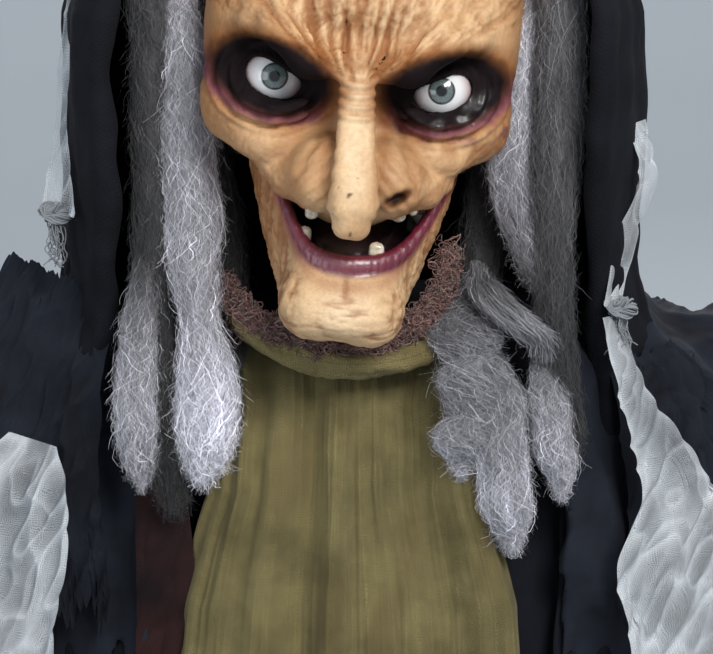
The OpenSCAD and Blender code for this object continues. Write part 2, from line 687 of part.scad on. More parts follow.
// Wrist socket, palm and five long bent fingers
module hand(side, upper_angle, forearm_angle) color(skin) at_elbow(side, upper_angle, forearm_angle)
    translate([-side * 6, 0, -forearm_l]) difference() {
        union() {
            hull() {
                translate([0, 0, -6]) sphere(r = 15, $fn = 16);
                for (m = [-1, 1]) translate([m * 24, 0, -70]) sphere(r = 9, $fn = 16);
            }
            for (k = [-1.5 : 1 : 1.5]) {
                knuckle = [k * 15, 0, -74];
                middle = [k * 21, 14, -112 + 6 * abs(k)];
                tip = [k * 24, 0, -152 + 8 * abs(k)];
                bone(knuckle, middle, 8, 7);
                bone(middle, tip, 7, 3.5);
            }
            bone([-side * 18, 0, -30], [-side * 48, -6, -78], 9, 5);
        }
        cylinder(r = 5 + run, h = 30);
    }

module upper_sleeve(side, angle) color(black_cloth) at_shoulder(side, angle) difference() {
    cloth_ring(sleeve_sections, -4, 0, 24);
    x_cylinder(side > 0 ? -60 : 10, 18, 50);
}

module lower_sleeve(side, upper_angle, forearm_angle) color(black_cloth)
    at_elbow(side, upper_angle, forearm_angle) cloth_ring(cuff_sections, -4, 0, 24);

module right_upper_arm() upper_arm(-1, right_upper_angle);
module right_elbow_bolt() elbow_bolt(-1, right_upper_angle);
module right_forearm() forearm(-1, right_upper_angle, right_forearm_angle);
module right_hand() hand(-1, right_upper_angle, right_forearm_angle);
module right_upper_sleeve() upper_sleeve(-1, right_upper_angle);
module right_lower_sleeve() lower_sleeve(-1, right_upper_angle, right_forearm_angle);
module left_upper_arm() upper_arm(1, left_upper_angle);
module left_elbow_bolt() elbow_bolt(1, left_upper_angle);
module left_forearm() forearm(1, left_upper_angle, left_forearm_angle);
module left_hand() hand(1, left_upper_angle, left_forearm_angle);
module left_upper_sleeve() upper_sleeve(1, left_upper_angle);
module left_lower_sleeve() lower_sleeve(1, left_upper_angle, left_forearm_angle);

base_hub();
base_legs();
foot_caps();
leg_screws();
lower_pole();
upper_pole();
snap_button();
shoulder_frame();
shoulder_nuts();
control_box();
control_box_cover();
battery_door();
power_switch();
volume_knob();
test_button();
speaker();
batteries();
circuit_board();
signal_cable();
neck_case();
neck_lid();
neck_bushes();
neck_motor();
neck_pinion();
neck_shaft();
neck_gear();
head_chassis();
skull_shell();
face_mask();
eye_domes();
eye_leds();
eye_bracket();
upper_teeth();
mouth_liner();
jaw_motor();
jaw_pinion();
jaw_pins();
jaw_carrier();
jaw_mask();
lower_teeth();
hood();
hair_locks();
hair_ends();
robe();
cape();
tunic();
neck_ruff();
gauze_shawl();
right_upper_arm();
right_elbow_bolt();
right_forearm();
right_hand();
right_upper_sleeve();
right_lower_sleeve();
left_upper_arm();
left_elbow_bolt();
left_forearm();
left_hand();
left_upper_sleeve();
left_lower_sleeve();
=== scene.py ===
"""Looks of the animated witch figure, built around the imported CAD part.

Lengths are in millimetres until a mesh is made. The face is built in the head's own frame.
"""

import json
import math

import bpy
import numpy as np
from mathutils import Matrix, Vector


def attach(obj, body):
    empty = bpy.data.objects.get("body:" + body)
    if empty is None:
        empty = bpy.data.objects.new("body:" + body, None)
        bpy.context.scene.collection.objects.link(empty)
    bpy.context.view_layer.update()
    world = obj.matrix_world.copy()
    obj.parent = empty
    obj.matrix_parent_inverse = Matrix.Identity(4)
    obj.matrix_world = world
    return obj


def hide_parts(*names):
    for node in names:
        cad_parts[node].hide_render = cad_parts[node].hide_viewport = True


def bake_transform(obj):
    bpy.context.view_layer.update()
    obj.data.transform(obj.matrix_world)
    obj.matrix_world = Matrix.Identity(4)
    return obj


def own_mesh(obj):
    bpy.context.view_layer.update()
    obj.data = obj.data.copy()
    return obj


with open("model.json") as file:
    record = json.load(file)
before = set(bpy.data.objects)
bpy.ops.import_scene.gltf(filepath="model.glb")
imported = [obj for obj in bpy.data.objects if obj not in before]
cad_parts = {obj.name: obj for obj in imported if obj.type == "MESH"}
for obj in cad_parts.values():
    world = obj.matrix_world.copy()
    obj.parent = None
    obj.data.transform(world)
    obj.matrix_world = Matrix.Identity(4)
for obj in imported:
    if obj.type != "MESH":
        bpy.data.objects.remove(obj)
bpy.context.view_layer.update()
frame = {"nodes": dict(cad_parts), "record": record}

MM = 0.001
EYE_MID = np.array([0.0, -85.0, 1570.0])  # the head frame's origin, midway between the eyes, in the row frame
HEAD_ROLL = math.radians(5)
EYE_GAP = 37.4  # from the middle of the face to the middle of an eye
EYE_Y = -60.0
EYE_R = 14.5


# ---------- frames, noise and meshes ----------

def head_to_row(p):
    """Points of the head's own frame, whose origin is midway between the eyes, in the row frame."""
    p = np.asarray(p, float)
    c, s = math.cos(HEAD_ROLL), math.sin(HEAD_ROLL)
    out = np.empty_like(p)
    out[..., 0] = p[..., 0] * c + p[..., 2] * s
    out[..., 1] = p[..., 1]
    out[..., 2] = -p[..., 0] * s + p[..., 2] * c
    return out + EYE_MID


def at(*parts):
    """Numbers or arrays side by side, as points."""
    return np.stack(np.broadcast_arrays(*parts), -1)


def unit(v):
    """Vectors of any array shape, scaled to length 1."""
    return v / np.maximum(np.linalg.norm(v, axis=-1, keepdims=True), 1e-9)


def lattice(ix, iy, iz, seed):
    """A repeatable random direction for each lattice corner."""
    h = (ix * 374761393 + iy * 668265263 + iz * 2147483647 + seed * 1274126177) & 0xFFFFFFFF
    h = ((h ^ (h >> 13)) * 1274126177) & 0xFFFFFFFF
    h = h ^ (h >> 16)
    turn = (h & 0xFFFF) / 65536.0 * 2 * np.pi
    up = ((h >> 16) & 0xFFFF) / 32768.0 - 1.0
    flat = np.sqrt(np.maximum(0.0, 1.0 - up * up))
    return flat * np.cos(turn), flat * np.sin(turn), up


def noise(p, seed=0):
    """Gradient noise, about -0.7 to 0.7, at points of any array shape (..., 3)."""
    p = np.asarray(p, float)
    base = np.floor(p).astype(np.int64)
    f = p - base
    u = f * f * f * (f * (f * 6 - 15) + 10)
    total = np.zeros(p.shape[:-1])
    for dx in (0, 1):
        for dy in (0, 1):
            for dz in (0, 1):
                gx, gy, gz = lattice(base[..., 0] + dx, base[..., 1] + dy, base[..., 2] + dz, seed)
                dot = gx * (f[..., 0] - dx) + gy * (f[..., 1] - dy) + gz * (f[..., 2] - dz)
                w = ((u[..., 0] if dx else 1 - u[..., 0])
                     * (u[..., 1] if dy else 1 - u[..., 1])
                     * (u[..., 2] if dz else 1 - u[..., 2]))
                total += w * dot
    return total


def fbm(p, seed=0, octaves=3):
    """Noise summed over halving sizes."""
    total, gain = 0.0, 1.0
    for k in range(octaves):
        total = total + gain * noise(p * 2.0 ** k, seed + 17 * k)
        gain *= 0.5
    return total


def ridges(p, seed=0, octaves=2):
    """1 along thin winding lines, falling to 0 between them."""
    total, gain, top = 0.0, 1.0, 0.0
    for k in range(octaves):
        total = total + gain * (1 - np.minimum(1, np.abs(noise(p * 2.0 ** k, seed + 31 * k)) * 3.2)) ** 2
        top += gain
        gain *= 0.55
    return total / top


def step_up(lo, hi, x):
    """0 below lo, 1 above hi, smooth between."""
    t = np.clip((x - lo) / (hi - lo), 0, 1)
    return t * t * (3 - 2 * t)


def thicken(piece, thick, offset=-1):
    """Gives a sheet its thickness in millimetres: all of it inward, or half each way at offset 0."""
    solid = piece.modifiers.new("Thickness", "SOLIDIFY")
    solid.thickness = thick * MM
    solid.offset = offset


def make_mesh(name, points_mm, faces, material, uv=None, attributes=None):
    """A mesh object from points in millimetres. faces is an (n, 4) or (n, 3) array or a list of them."""
    groups = faces if isinstance(faces, list) else [faces]
    groups = [np.asarray(g, np.int32) for g in groups if len(g)]
    loops = np.concatenate([g.ravel() for g in groups])
    sizes = np.concatenate([np.full(len(g), g.shape[1], np.int32) for g in groups])
    starts = np.concatenate([[0], np.cumsum(sizes)[:-1]]).astype(np.int32)
    me = bpy.data.meshes.new(name)
    me.vertices.add(len(points_mm))
    me.vertices.foreach_set("co", (np.asarray(points_mm, float) * MM).astype(np.float32).ravel())
    me.loops.add(len(loops))
    me.loops.foreach_set("vertex_index", loops)
    me.polygons.add(len(sizes))
    me.polygons.foreach_set("loop_start", starts)
    me.polygons.foreach_set("loop_total", sizes)
    me.update(calc_edges=True)
    me.validate()
    me.polygons.foreach_set("use_smooth", np.full(len(me.polygons), True))
    if uv is not None:
        layer = me.uv_layers.new(name="Weave")
        layer.data.foreach_set("uv", np.asarray(uv, np.float32)[loops].ravel())
    for key, values in (attributes or {}).items():
        values = np.asarray(values, np.float32)
        kind = "FLOAT" if values.ndim == 1 else "FLOAT_COLOR"
        if values.ndim == 2 and values.shape[1] == 3:
            values = np.concatenate([values, np.ones((len(values), 1), np.float32)], 1)
        me.attributes.new(key, kind, "POINT").data.foreach_set(
            "value" if kind == "FLOAT" else "color", values.ravel())
    obj = bpy.data.objects.new(name, me)
    bpy.context.scene.collection.objects.link(obj)
    if material is not None:
        me.materials.append(material)
    return obj


def down(rows):
    """0 to 1 down the rows of a grid."""
    return np.linspace(0, 1, rows)[:, None]


def circle(cols):
    """Angles once round the columns of a grid."""
    return np.linspace(0, 2 * np.pi, cols, endpoint=False)[None, :]


def grid_faces(rows, cols, wrap=False):
    """Quads of a grid of points laid out row by row."""
    r = np.arange(rows - 1)[:, None]
    c = np.arange(cols if wrap else cols - 1)[None, :]
    n = (c + 1) % cols
    quads = at(r * cols + c, r * cols + n, (r + 1) * cols + n, (r + 1) * cols + c)
    return quads.reshape(-1, 4)


# ---------- solids from distance fields ----------

def smooth_min(a, b, k):
    """The union of two fields, with a fillet of size k."""
    h = np.maximum(k - np.abs(a - b), 0) / k
    return np.minimum(a, b) - h * h * k * 0.25


def smooth_max(a, b, k):
    return -smooth_min(-a, -b, k)


def ellipsoid(p, centre, radii, turn=0.0):
    """Field of an ellipsoid; turn rolls it in the face plane, in degrees, counter-clockwise as seen."""
    x, y, z = (p[i] - centre[i] for i in range(3))
    if turn:
        c, s = math.cos(math.radians(turn)), math.sin(math.radians(turn))
        x, z = x * c + z * s, -x * s + z * c
    q = [x / radii[0], y / radii[1], z / radii[2]]
    k0 = np.sqrt(q[0] ** 2 + q[1] ** 2 + q[2] ** 2)
    k1 = np.sqrt((q[0] / radii[0]) ** 2 + (q[1] / radii[1]) ** 2 + (q[2] / radii[2]) ** 2)
    return k0 * (k0 - 1) / np.maximum(k1, 1e-6)


def cone(p, a, b, ra, rb):
    """Field of a rounded cone from a to b."""
    a, b = np.asarray(a, float), np.asarray(b, float)
    d = b - a
    t = np.clip(sum((p[i] - a[i]) * d[i] for i in range(3)) / (d @ d), 0, 1)
    gap = np.sqrt(sum((p[i] - a[i] - d[i] * t) ** 2 for i in range(3)))
    return gap - (ra + (rb - ra) * t)


def chain(p, knots, k):
    """Field of rounded cones through knots of (x, y, z, radius)."""
    d = None
    for a, b in zip(knots[:-1], knots[1:]):
        piece = cone(p, a[:3], b[:3], a[3], b[3])
        d = piece if d is None else smooth_min(d, piece, k)
    return d


def surface_net(field, low, step):
    """Points and quads on the zero surface of a field that is negative inside."""
    inside = field < 0
    shape = np.array(field.shape) - 1
    corners = [(i, j, k) for i in (0, 1) for j in (0, 1) for k in (0, 1)]
    count = np.zeros(shape, np.int8)
    for i, j, k in corners:
        count += inside[i:i + shape[0], j:j + shape[1], k:k + shape[2]]
    cells = np.argwhere((count > 0) & (count < 8))
    value = {c: field[cells[:, 0] + c[0], cells[:, 1] + c[1], cells[:, 2] + c[2]] for c in corners}
    total = np.zeros((len(cells), 3))
    hits = np.zeros(len(cells))
    for a in corners:
        for axis in range(3):
            if a[axis]:
                continue
            b = tuple(1 if n == axis else a[n] for n in range(3))
            crossed = (value[a] < 0) != (value[b] < 0)
            t = np.where(crossed, value[a] / np.where(crossed, value[a] - value[b], 1), 0)
            spot = np.tile(np.array(a, float), (len(cells), 1))
            spot[:, axis] = t
            total += spot * crossed[:, None]
            hits += crossed
    points = np.asarray(low) + (cells + total / hits[:, None]) * step
    number = np.full(shape, -1, np.int64)
    number[tuple(cells.T)] = np.arange(len(cells))
    quads = []
    for axis in range(3):
        u, v = [n for n in range(3) if n != axis]
        here = [slice(1, -1)] * 3
        here[axis] = slice(0, -1)
        there = list(here)
        there[axis] = slice(1, None)
        change = inside[tuple(here)] != inside[tuple(there)]
        spots = np.argwhere(change)
        spots[:, u] += 1
        spots[:, v] += 1
        first_inside = inside[tuple(spots.T)]
        ring = []
        for du, dv in ((1, 1), (0, 1), (0, 0), (1, 0)):
            cell = spots.copy()
            cell[:, u] -= du
            cell[:, v] -= dv
            ring.append(number[tuple(cell.T)])
        quad = np.stack(ring, 1)
        flip = first_inside if axis != 1 else ~first_inside
        quad[~flip] = quad[~flip][:, ::-1]
        quads.append(quad)
    quads = np.concatenate(quads)
    return points, quads[(quads >= 0).all(1)]


def grid_box(low, high, step):
    """Coordinates of a box of samples, as three broadcastable arrays."""
    axes = [np.arange(lo, hi + step, step, dtype=np.float32) for lo, hi in zip(low, high)]
    return [axes[0][:, None, None], axes[1][None, :, None], axes[2][None, None, :]]


def vertex_normals(points, quads):
    """Area-weighted normals of a quad mesh."""
    across = np.cross(points[quads[:, 2]] - points[quads[:, 0]], points[quads[:, 3]] - points[quads[:, 1]])
    total = np.zeros_like(points)
    for k in range(4):
        for axis in range(3):
            total[:, axis] += np.bincount(quads[:, k], across[:, axis], len(points))
    return unit(total)


def relaxed(points, quads, rounds):
    """The mesh's points, each moved part of the way to its neighbours' mean."""
    ends = np.concatenate([quads[:, [0, 1]], quads[:, [1, 2]], quads[:, [2, 3]], quads[:, [3, 0]]])
    degree = np.bincount(ends[:, 0], minlength=len(points))
    degree = np.maximum(degree, 1)[:, None]
    for _ in range(rounds):
        mean = np.stack([np.bincount(ends[:, 0], points[ends[:, 1], a], len(points)) for a in range(3)], 1)
        points = points + 0.5 * (mean / degree - points)
    return points


class Spray:
    """Paint on a set of points: a base colour, with others sprayed over it by an amount for each point."""

    def __init__(self, base, count):
        self.colour = np.tile(np.asarray(base, float), (count, 1))

    def __call__(self, target, amount):
        amount = np.clip(amount, 0, 1)[:, None]
        self.colour = self.colour * (1 - amount) + np.asarray(target) * amount


def skin_of(field, low, step, rounds=2):
    """Points, quads and normals of a field's smoothed surface."""
    points, quads = surface_net(field, low, step)
    points = relaxed(points, quads, rounds)
    return points, quads, vertex_normals(points, quads)


# ---------- the face ----------

LIP_X = [-73, -46, -35, -28, -18, -8, 2, 12, 22, 32, 39, 50, 77]
LIP_Z = [-28, -37, -44, -50, -57.5, -62.5, -64, -62, -56, -47, -41, -35, -27]
JAW_Z = [-114, -104, -97, -87, -78, -69, -59, -48, -37, -28]
JAW_HALF = [21, 25, 29.5, 33.5, 37, 40.5, 43.5, 47, 49.5, 51]
JAW_BACK = [-66, -60, -53, -45, -39, -34, -30, -25, -20, -18]
JAW_FRONT = [-100, -103, -100, -93, -94, -94, -91, -86, -80, -76]
RIM_X = [0, 10, 17, 22, 26, 30, 34, 38, 42]
RIM_Z = [-74, -73, -70.5, -66, -60, -52.5, -44, -35.5, -26]
SOCKET_TONE = np.array([0.009, 0.005, 0.006])


def mask_field(p):
    """Upper face: forehead to upper lip, as a solid."""
    x, _, z = p
    d = ellipsoid(p, (0, -10, 42), (75, 74, 64))
    d = smooth_min(d, ellipsoid(p, (0, -18, -6), (62, 55, 46)), 12)
    d = smooth_min(d, ellipsoid(p, (0, -46, 35), (62, 43, 27)), 14)
    for s in (-1, 1):
        d = smooth_min(d, ellipsoid(p, (s * 57, -40, 15), (14, 27, 32)), 10)
        d = smooth_min(d, ellipsoid(p, (s * 48, -46, -14), (22.5, 27, 22), s * 8), 8)
        d = smooth_min(d, ellipsoid(p, (s * 36, -60, -28), (18, 19, 12), -s * 22), 8)
    d = smooth_min(d, ellipsoid(p, (2, -52, -44), (38, 34, 26)), 9)
    for s in (-1, 1):
        d = smooth_max(d, -ellipsoid(p, (s * 40, -90, 2), (25, 23, 15), -s * 8), 5)
        brow = chain(p, [(s * 8, -85, 11, 8.5), (s * 22, -88, 11.5, 9), (s * 37, -84, 24, 8.5),
                         (s * 48, -73, 26, 7.5), (s * 58, -56, 26, 4.5)], 4)
        d = smooth_min(d, brow, 8)
        lid = ellipsoid(p, (s * EYE_GAP, EYE_Y, 0), (EYE_R + 2.4, EYE_R + 2.2, EYE_R + 1.4))
        d = smooth_min(d, lid, 3)
        for drop, reach in ((0, 4.0), (5, 3.4)):
            bag = chain(p, [(s * (57 + drop), -62 + drop, 0, reach * 0.8),
                            (s * 48, -72 + drop, -11 - drop, reach),
                            (s * 36, -77 + drop, -14.5 - drop, reach),
                            (s * 24, -78 + drop, -10 - drop, reach * 0.8)], 4)
            d = smooth_min(d, bag, 4)
    lip = np.interp(x, LIP_X, LIP_Z).astype(np.float32)
    d = smooth_max(d, lip - z, 5)
    for s in (-1, 1):
        d = smooth_min(d, ellipsoid(p, (2 + s * 14, -84, -37), (14, 16, 15), s * 24), 11)
        d = smooth_min(d, ellipsoid(p, (3 + s * 19, -85, -45), (12, 15, 9), s * 32), 7)
        d = smooth_min(d, chain(p, [(3 + s * 22, -84, -38, 6), (3 + s * 31, -78, -45, 5.5),
                                    (3 + s * 39, -66, -41, 4.5)], 5), 6)
    for dx in (-4.3, 4.3):
        ridge = chain(p, [(-0.5 + dx * 0.8, -87, 3, 4.2), (0.5 + dx * 1.05, -98, -14, 3.5),
                          (1.8 + dx * 1.4, -108, -36, 3.8), (2.2 + dx, -112, -50, 5)], 2)
        d = smooth_min(d, ridge, 3)
    d = smooth_min(d, chain(p, [(-0.5, -86, 5, 6.6), (0.5, -94, -14, 7.2), (1.8, -103.5, -38, 8)], 2), 2.5)
    d = smooth_min(d, chain(p, [(2, -107, -44, 9.5), (2, -108.5, -55, 7.2)], 3), 4)
    for dx in (-3.2, 3.2):
        d = smooth_min(d, ellipsoid(p, (2 + dx, -107.5, -58.5), (5, 5, 5.6)), 4)
    for s in (-1, 1):
        d = smooth_min(d, ellipsoid(p, (2.3 + s * 6.5, -106, -49), (5, 7, 6)), 3)
    d = smooth_max(d, -ellipsoid(p, (21, -103, -46), (8, 10, 2.4), 32), 2.5)
    return d


def eye_opening(p, s):
    """Field of the almond hole between the lids."""
    x, z = p[0] - s * EYE_GAP, p[2] - 0.6
    c, t = math.cos(math.radians(16 * s)), math.sin(math.radians(16 * s))
    u, v = x * c + z * t, -x * t + z * c
    almond = (np.sqrt((u / 13.2) ** 2 + (v / 8.4) ** 2) - 1) * 8.5
    brow = (p[2] + 0.4 - 0.5 * (s * p[0] - 24)) * 0.89
    return np.maximum(smooth_max(almond, brow, 3), p[1] - EYE_Y)


def jaw_section(z):
    """Half width, back and front of the jaw at a height."""
    return (np.interp(z, JAW_Z, JAW_HALF), np.interp(z, JAW_Z, JAW_BACK), np.interp(z, JAW_Z, JAW_FRONT))


def jaw_field(p):
    """Chin, jaw sides and lower lip, as a solid."""
    x, y, z = p
    half, back, front = (v.astype(np.float32) for v in jaw_section(z))
    deep = back - front
    d = (np.sqrt(((x - 1.5) / half) ** 2 + ((y - back) / deep) ** 2) - 1) * half * 0.85
    d = smooth_max(d, y - back - 12, 4)
    d = smooth_max(d, -105.5 - z, 10)
    d = smooth_max(d, z + 30, 3)
    chin = smooth_min(ellipsoid(p, (-11, -88, -97), (14, 14, 14)),
                      ellipsoid(p, (14, -88, -98), (13, 14, 14)), 14)
    d = smooth_min(d, chin, 16)
    return d


def from_middle(x):
    """Distance across the mouth from its middle; the grin runs further out on the figure's left."""
    dx = x - 2.5
    return np.where(dx > 0, dx / 1.16, -dx)


def rim_path(n):
    """Points along the edge of the lower lip, in the head frame."""
    x = np.linspace(-33.5, 43.5, n)
    z = np.interp(from_middle(x), RIM_X, RIM_Z)
    half, back, front = jaw_section(z)
    side = np.sqrt(np.maximum(0.0, 1 - ((x - 1.5) / half) ** 2))
    return at(x, back - (back - front) * side, z)


def build_mask(material):
    step = 1.1
    low, high = (-80, -126, -76), (80, -12, 104)
    p = grid_box(low, high, step)
    solid = mask_field(p)
    shell = np.maximum(solid, -(solid + 4.0))
    for s in (-1, 1):
        shell = smooth_max(shell, -eye_opening(p, s), 1.2)
        shell = np.maximum(shell, EYE_R + 0.3 - np.sqrt(
            (p[0] - s * EYE_GAP) ** 2 + (p[1] - EYE_Y) ** 2 + p[2] ** 2))
    shell = np.maximum(shell, p[1] + 16)
    points, quads, normals = skin_of(shell, low, step)
    height = mask_relief(points)
    outside = step_up(-3.2, -1.0, mask_field([points[:, k] for k in range(3)]))
    points = points + normals * (height * outside)[:, None]
    colour, gloss = mask_paint(points, height, outside)
    return make_mesh("FaceMask", head_to_row(points), quads, material,
                     attributes={"Paint": colour, "Gloss": gloss})


def mask_relief(q):
    """Wrinkle height on the upper face, in millimetres."""
    x, y, z = q[:, 0], q[:, 1], q[:, 2]
    side = np.abs(x)
    turn = np.arctan2(x, z + 12)
    reach = np.hypot(x, z + 12)
    brow_line = np.interp(side, [0, 12, 22, 38, 49, 66], [2, 4, 6, 19, 22, 25])
    above = step_up(-2, 8, z - brow_line)
    warp = 0.35 * noise(q * 0.05, 4)
    fan = ridges(at(turn * 6.5 + warp, reach * 0.018, 0), 3, 1)
    thin = ridges(at(turn * 15 + 2 * warp, reach * 0.05, 4), 13, 1)
    cross = ridges(at(x * 0.1 + np.sign(x) * z * 0.08, z * 0.14, y * 0.05), 11, 1)
    lumps = fbm(q * 0.07, 5, 2)
    crackle = ridges(at(turn * 22 + 3 * warp, reach * 0.16, 2), 19, 1)
    middle = step_up(46, 14, side)
    height = above * (-(1.0 + 1.1 * middle) * fan - 0.9 * thin - 0.7 * crackle - 0.4 * cross + 1.3 * lumps)
    for root_x, lean, deep in ((-3.5, -0.22, 1.7), (7.5, 0.2, 1.9), (-14, -0.35, 1.6), (17, 0.36, 1.5)):
        line = root_x + lean * (z - 6)
        groove = np.exp(-((x - line) / 1.7) ** 2)
        height -= deep * groove * step_up(0, 7, z) * step_up(44, 22, z)
    ridge_x = -0.3 + (3 - z) * 0.045
    rings = np.sin((z - 0.03 * (x - ridge_x) ** 2) * 2 * np.pi / 4.6)
    height += 1.1 * rings * np.exp(-((x - ridge_x) / 8) ** 4) * step_up(-17, -12, z) * step_up(8, 3, z)
    low_face = step_up(2, -8, z)
    pores = ridges(q * 0.2, 21)
    pits = step_up(0.35, 0.6, noise(q * 0.2, 23)) * step_up(30, 44, x)
    height += low_face * (0.6 * fbm(q * 0.13, 8, 3) - 0.6 * pores * step_up(20, 34, side) - 1.3 * pits)
    for s in (-1, 1):
        ex, ez = (x - s * EYE_GAP) / 1.25, z - 0.5
        ring = np.hypot(ex, ez)
        low_side = step_up(6, -6, z - 0.35 * (side - EYE_GAP))
        near = step_up(13, 16, ring) * step_up(29, 21, ring) * (x * s > 4)
        height += 1.15 * near * low_side * np.sin(ring * 2 * np.pi / 4.6 + 0.6 * noise(q * 0.1, 40))
        wing = np.hypot(x - 3 - s * 13, (z + 40) * 0.9)
        streaks = np.sin((s * x + z) * 0.71 * 2 * np.pi / 5.2 + 2.2 * noise(q * 0.07, 41))
        height += 0.28 * streaks * step_up(20, 12, wing) * step_up(6, 9, np.abs(x - ridge_x)) * (x * s > 0)
        height -= 1.1 * np.exp(-(((x - 3) * s - 22 + 0.45 * (z + 30)) / 2.2) ** 2) \
            * step_up(-50, -42, z) * step_up(-12, -22, z) * (x * s > 0)
    return height


def mask_paint(q, height, outside):
    """Sprayed colours of the upper face, painted shade and highlights among them, and how glossy each point
    is.
    """
    x, y, z = q[:, 0], q[:, 1], q[:, 2]
    side = np.abs(x)
    cream = np.array([0.74, 0.49, 0.27])
    tan = np.array([0.42, 0.205, 0.085])
    rust = np.array([0.30, 0.11, 0.035])
    plum = np.array([0.16, 0.045, 0.10])
    pale = np.array([0.80, 0.60, 0.38])
    spray = Spray(cream, len(q))
    ridge_x = -0.3 + (3 - z) * 0.045
    spray(tan, 0.8 * step_up(40, 68, side + 0.15 * np.abs(z) - 12 * step_up(4, 30, z) * (x > 0)))
    spray(tan, 0.5 * step_up(0.15, 0.7, fbm(q * 0.035, 60, 2) + 0.25) * step_up(30, 0, x))
    from_ridge = np.abs(x - ridge_x)
    # Painted shade in tan and rust down the sides of the nose, beside its ridge.
    spray(tan, 0.8 * np.exp(-((from_ridge - 12.5) / 5.5) ** 2) * step_up(8, -4, z) * step_up(-60, -30, z))
    spray(rust, 0.4 * np.exp(-((from_ridge - 12) / 4.0) ** 2) * step_up(6, -6, z) * step_up(-44, -16, z))
    spray(tan, 0.75 * np.exp(-(((side - 27) / 10) ** 2)) * step_up(-10, -24, z))
    # Painted highlights in pale paint: a stripe down the nose ridge, and patches on the raised forehead
    # either side of the middle.
    spray(pale, 0.9 * np.exp(-((x - ridge_x) / 6) ** 2) * step_up(10, 0, z) * step_up(-60, -40, z))
    spray(pale, 0.5 * np.exp(-((side - 16) / 9) ** 2 - ((z - 32) / 14) ** 2))
    # Painted shade in the creases: tan, then rust, where the relief sinks deepest, with less of it high on
    # the figure's left and on the upper forehead.
    crease_shade = (1 - 0.35 * step_up(0, 40, x) * step_up(0, 20, z)) * (1 - 0.6 * step_up(30, 60, z))
    spray(tan, 0.8 * crease_shade * step_up(0.5, 1.7, -height))
    spray(rust, 0.75 * crease_shade * step_up(1.3, 2.8, -height))
    bruise = step_up(18, 32, x) * step_up(-42, -30, z) * step_up(-4, -14, z)
    spray(rust, 0.55 * bruise * step_up(0.0, 0.3, noise(q * 0.11, 62) + 0.1))
    spray(plum, 0.5 * bruise * step_up(-28, -16, z) * step_up(0.0, 0.25, noise(q * 0.17, 63)))
    for s in (-1, 1):
        ex, ez = (x - s * (EYE_GAP + 1.5)), z - 1.5
        c, t = math.cos(math.radians(12 * s)), math.sin(math.radians(12 * s))
        u, v = ex * c + ez * t, -ex * t + ez * c
        rim = np.hypot(u / 26, v / np.where(v < 0, 15.5, 15))
        wobble = 0.10 * fbm(q * 0.16, 71, 2)
        under = step_up(12, 2, z)
        spray(rust, 0.85 * step_up(1.6, 1.15, rim + wobble))
        beside_nose = step_up(10, 20, side)
        spray(plum * [1.15, 1.1, 1.25], 0.85 * under * step_up(1.48, 1.12, rim + wobble) * beside_nose)
        spray(rust * 0.3, 0.8 * step_up(1.28, 1.08, rim + wobble))
        spray(SOCKET_TONE, step_up(1.17, 0.92, rim + wobble * 0.6))
    hole = np.hypot((x - 21) * 0.85 + (z + 46) * 0.53, ((z + 46) * 0.85 - (x - 21) * 0.53) * 2.6)
    spray(rust * 0.5, 0.9 * step_up(11, 5, hole) * (y < -86))
    spray(SOCKET_TONE * 2, 0.9 * step_up(6, 2, hole) * (y < -86))
    specks = step_up(0.46, 0.52, noise(q * 0.33, 90)) * np.exp(-((x - 2) / 20) ** 2) * step_up(-20, -34, z)
    spray(rust * 0.4, 0.9 * specks)
    lip = np.interp(x, LIP_X, LIP_Z)
    spray(rust, 0.5 * step_up(3.5, 0.0, z - lip) * (np.abs(x - 4) > 9))
    spray(np.array([0.004, 0.003, 0.004]), step_up(0.9, 0.3, outside))
    gloss = np.zeros(len(q))
    for s in (-1, 1):
        ring = np.hypot((x - s * EYE_GAP) / 1.35, z - 0.5)
        matte = -0.5 * step_up(27, 22, ring) * (x * s > 0)
        wet = 0.9 * step_up(21, 17, ring) * step_up(24, 34, x) * step_up(5, -3, z)
        gloss = gloss + matte + wet * step_up(-0.1, 0.3, noise(q * 0.15, 66))
    return spray.colour, gloss


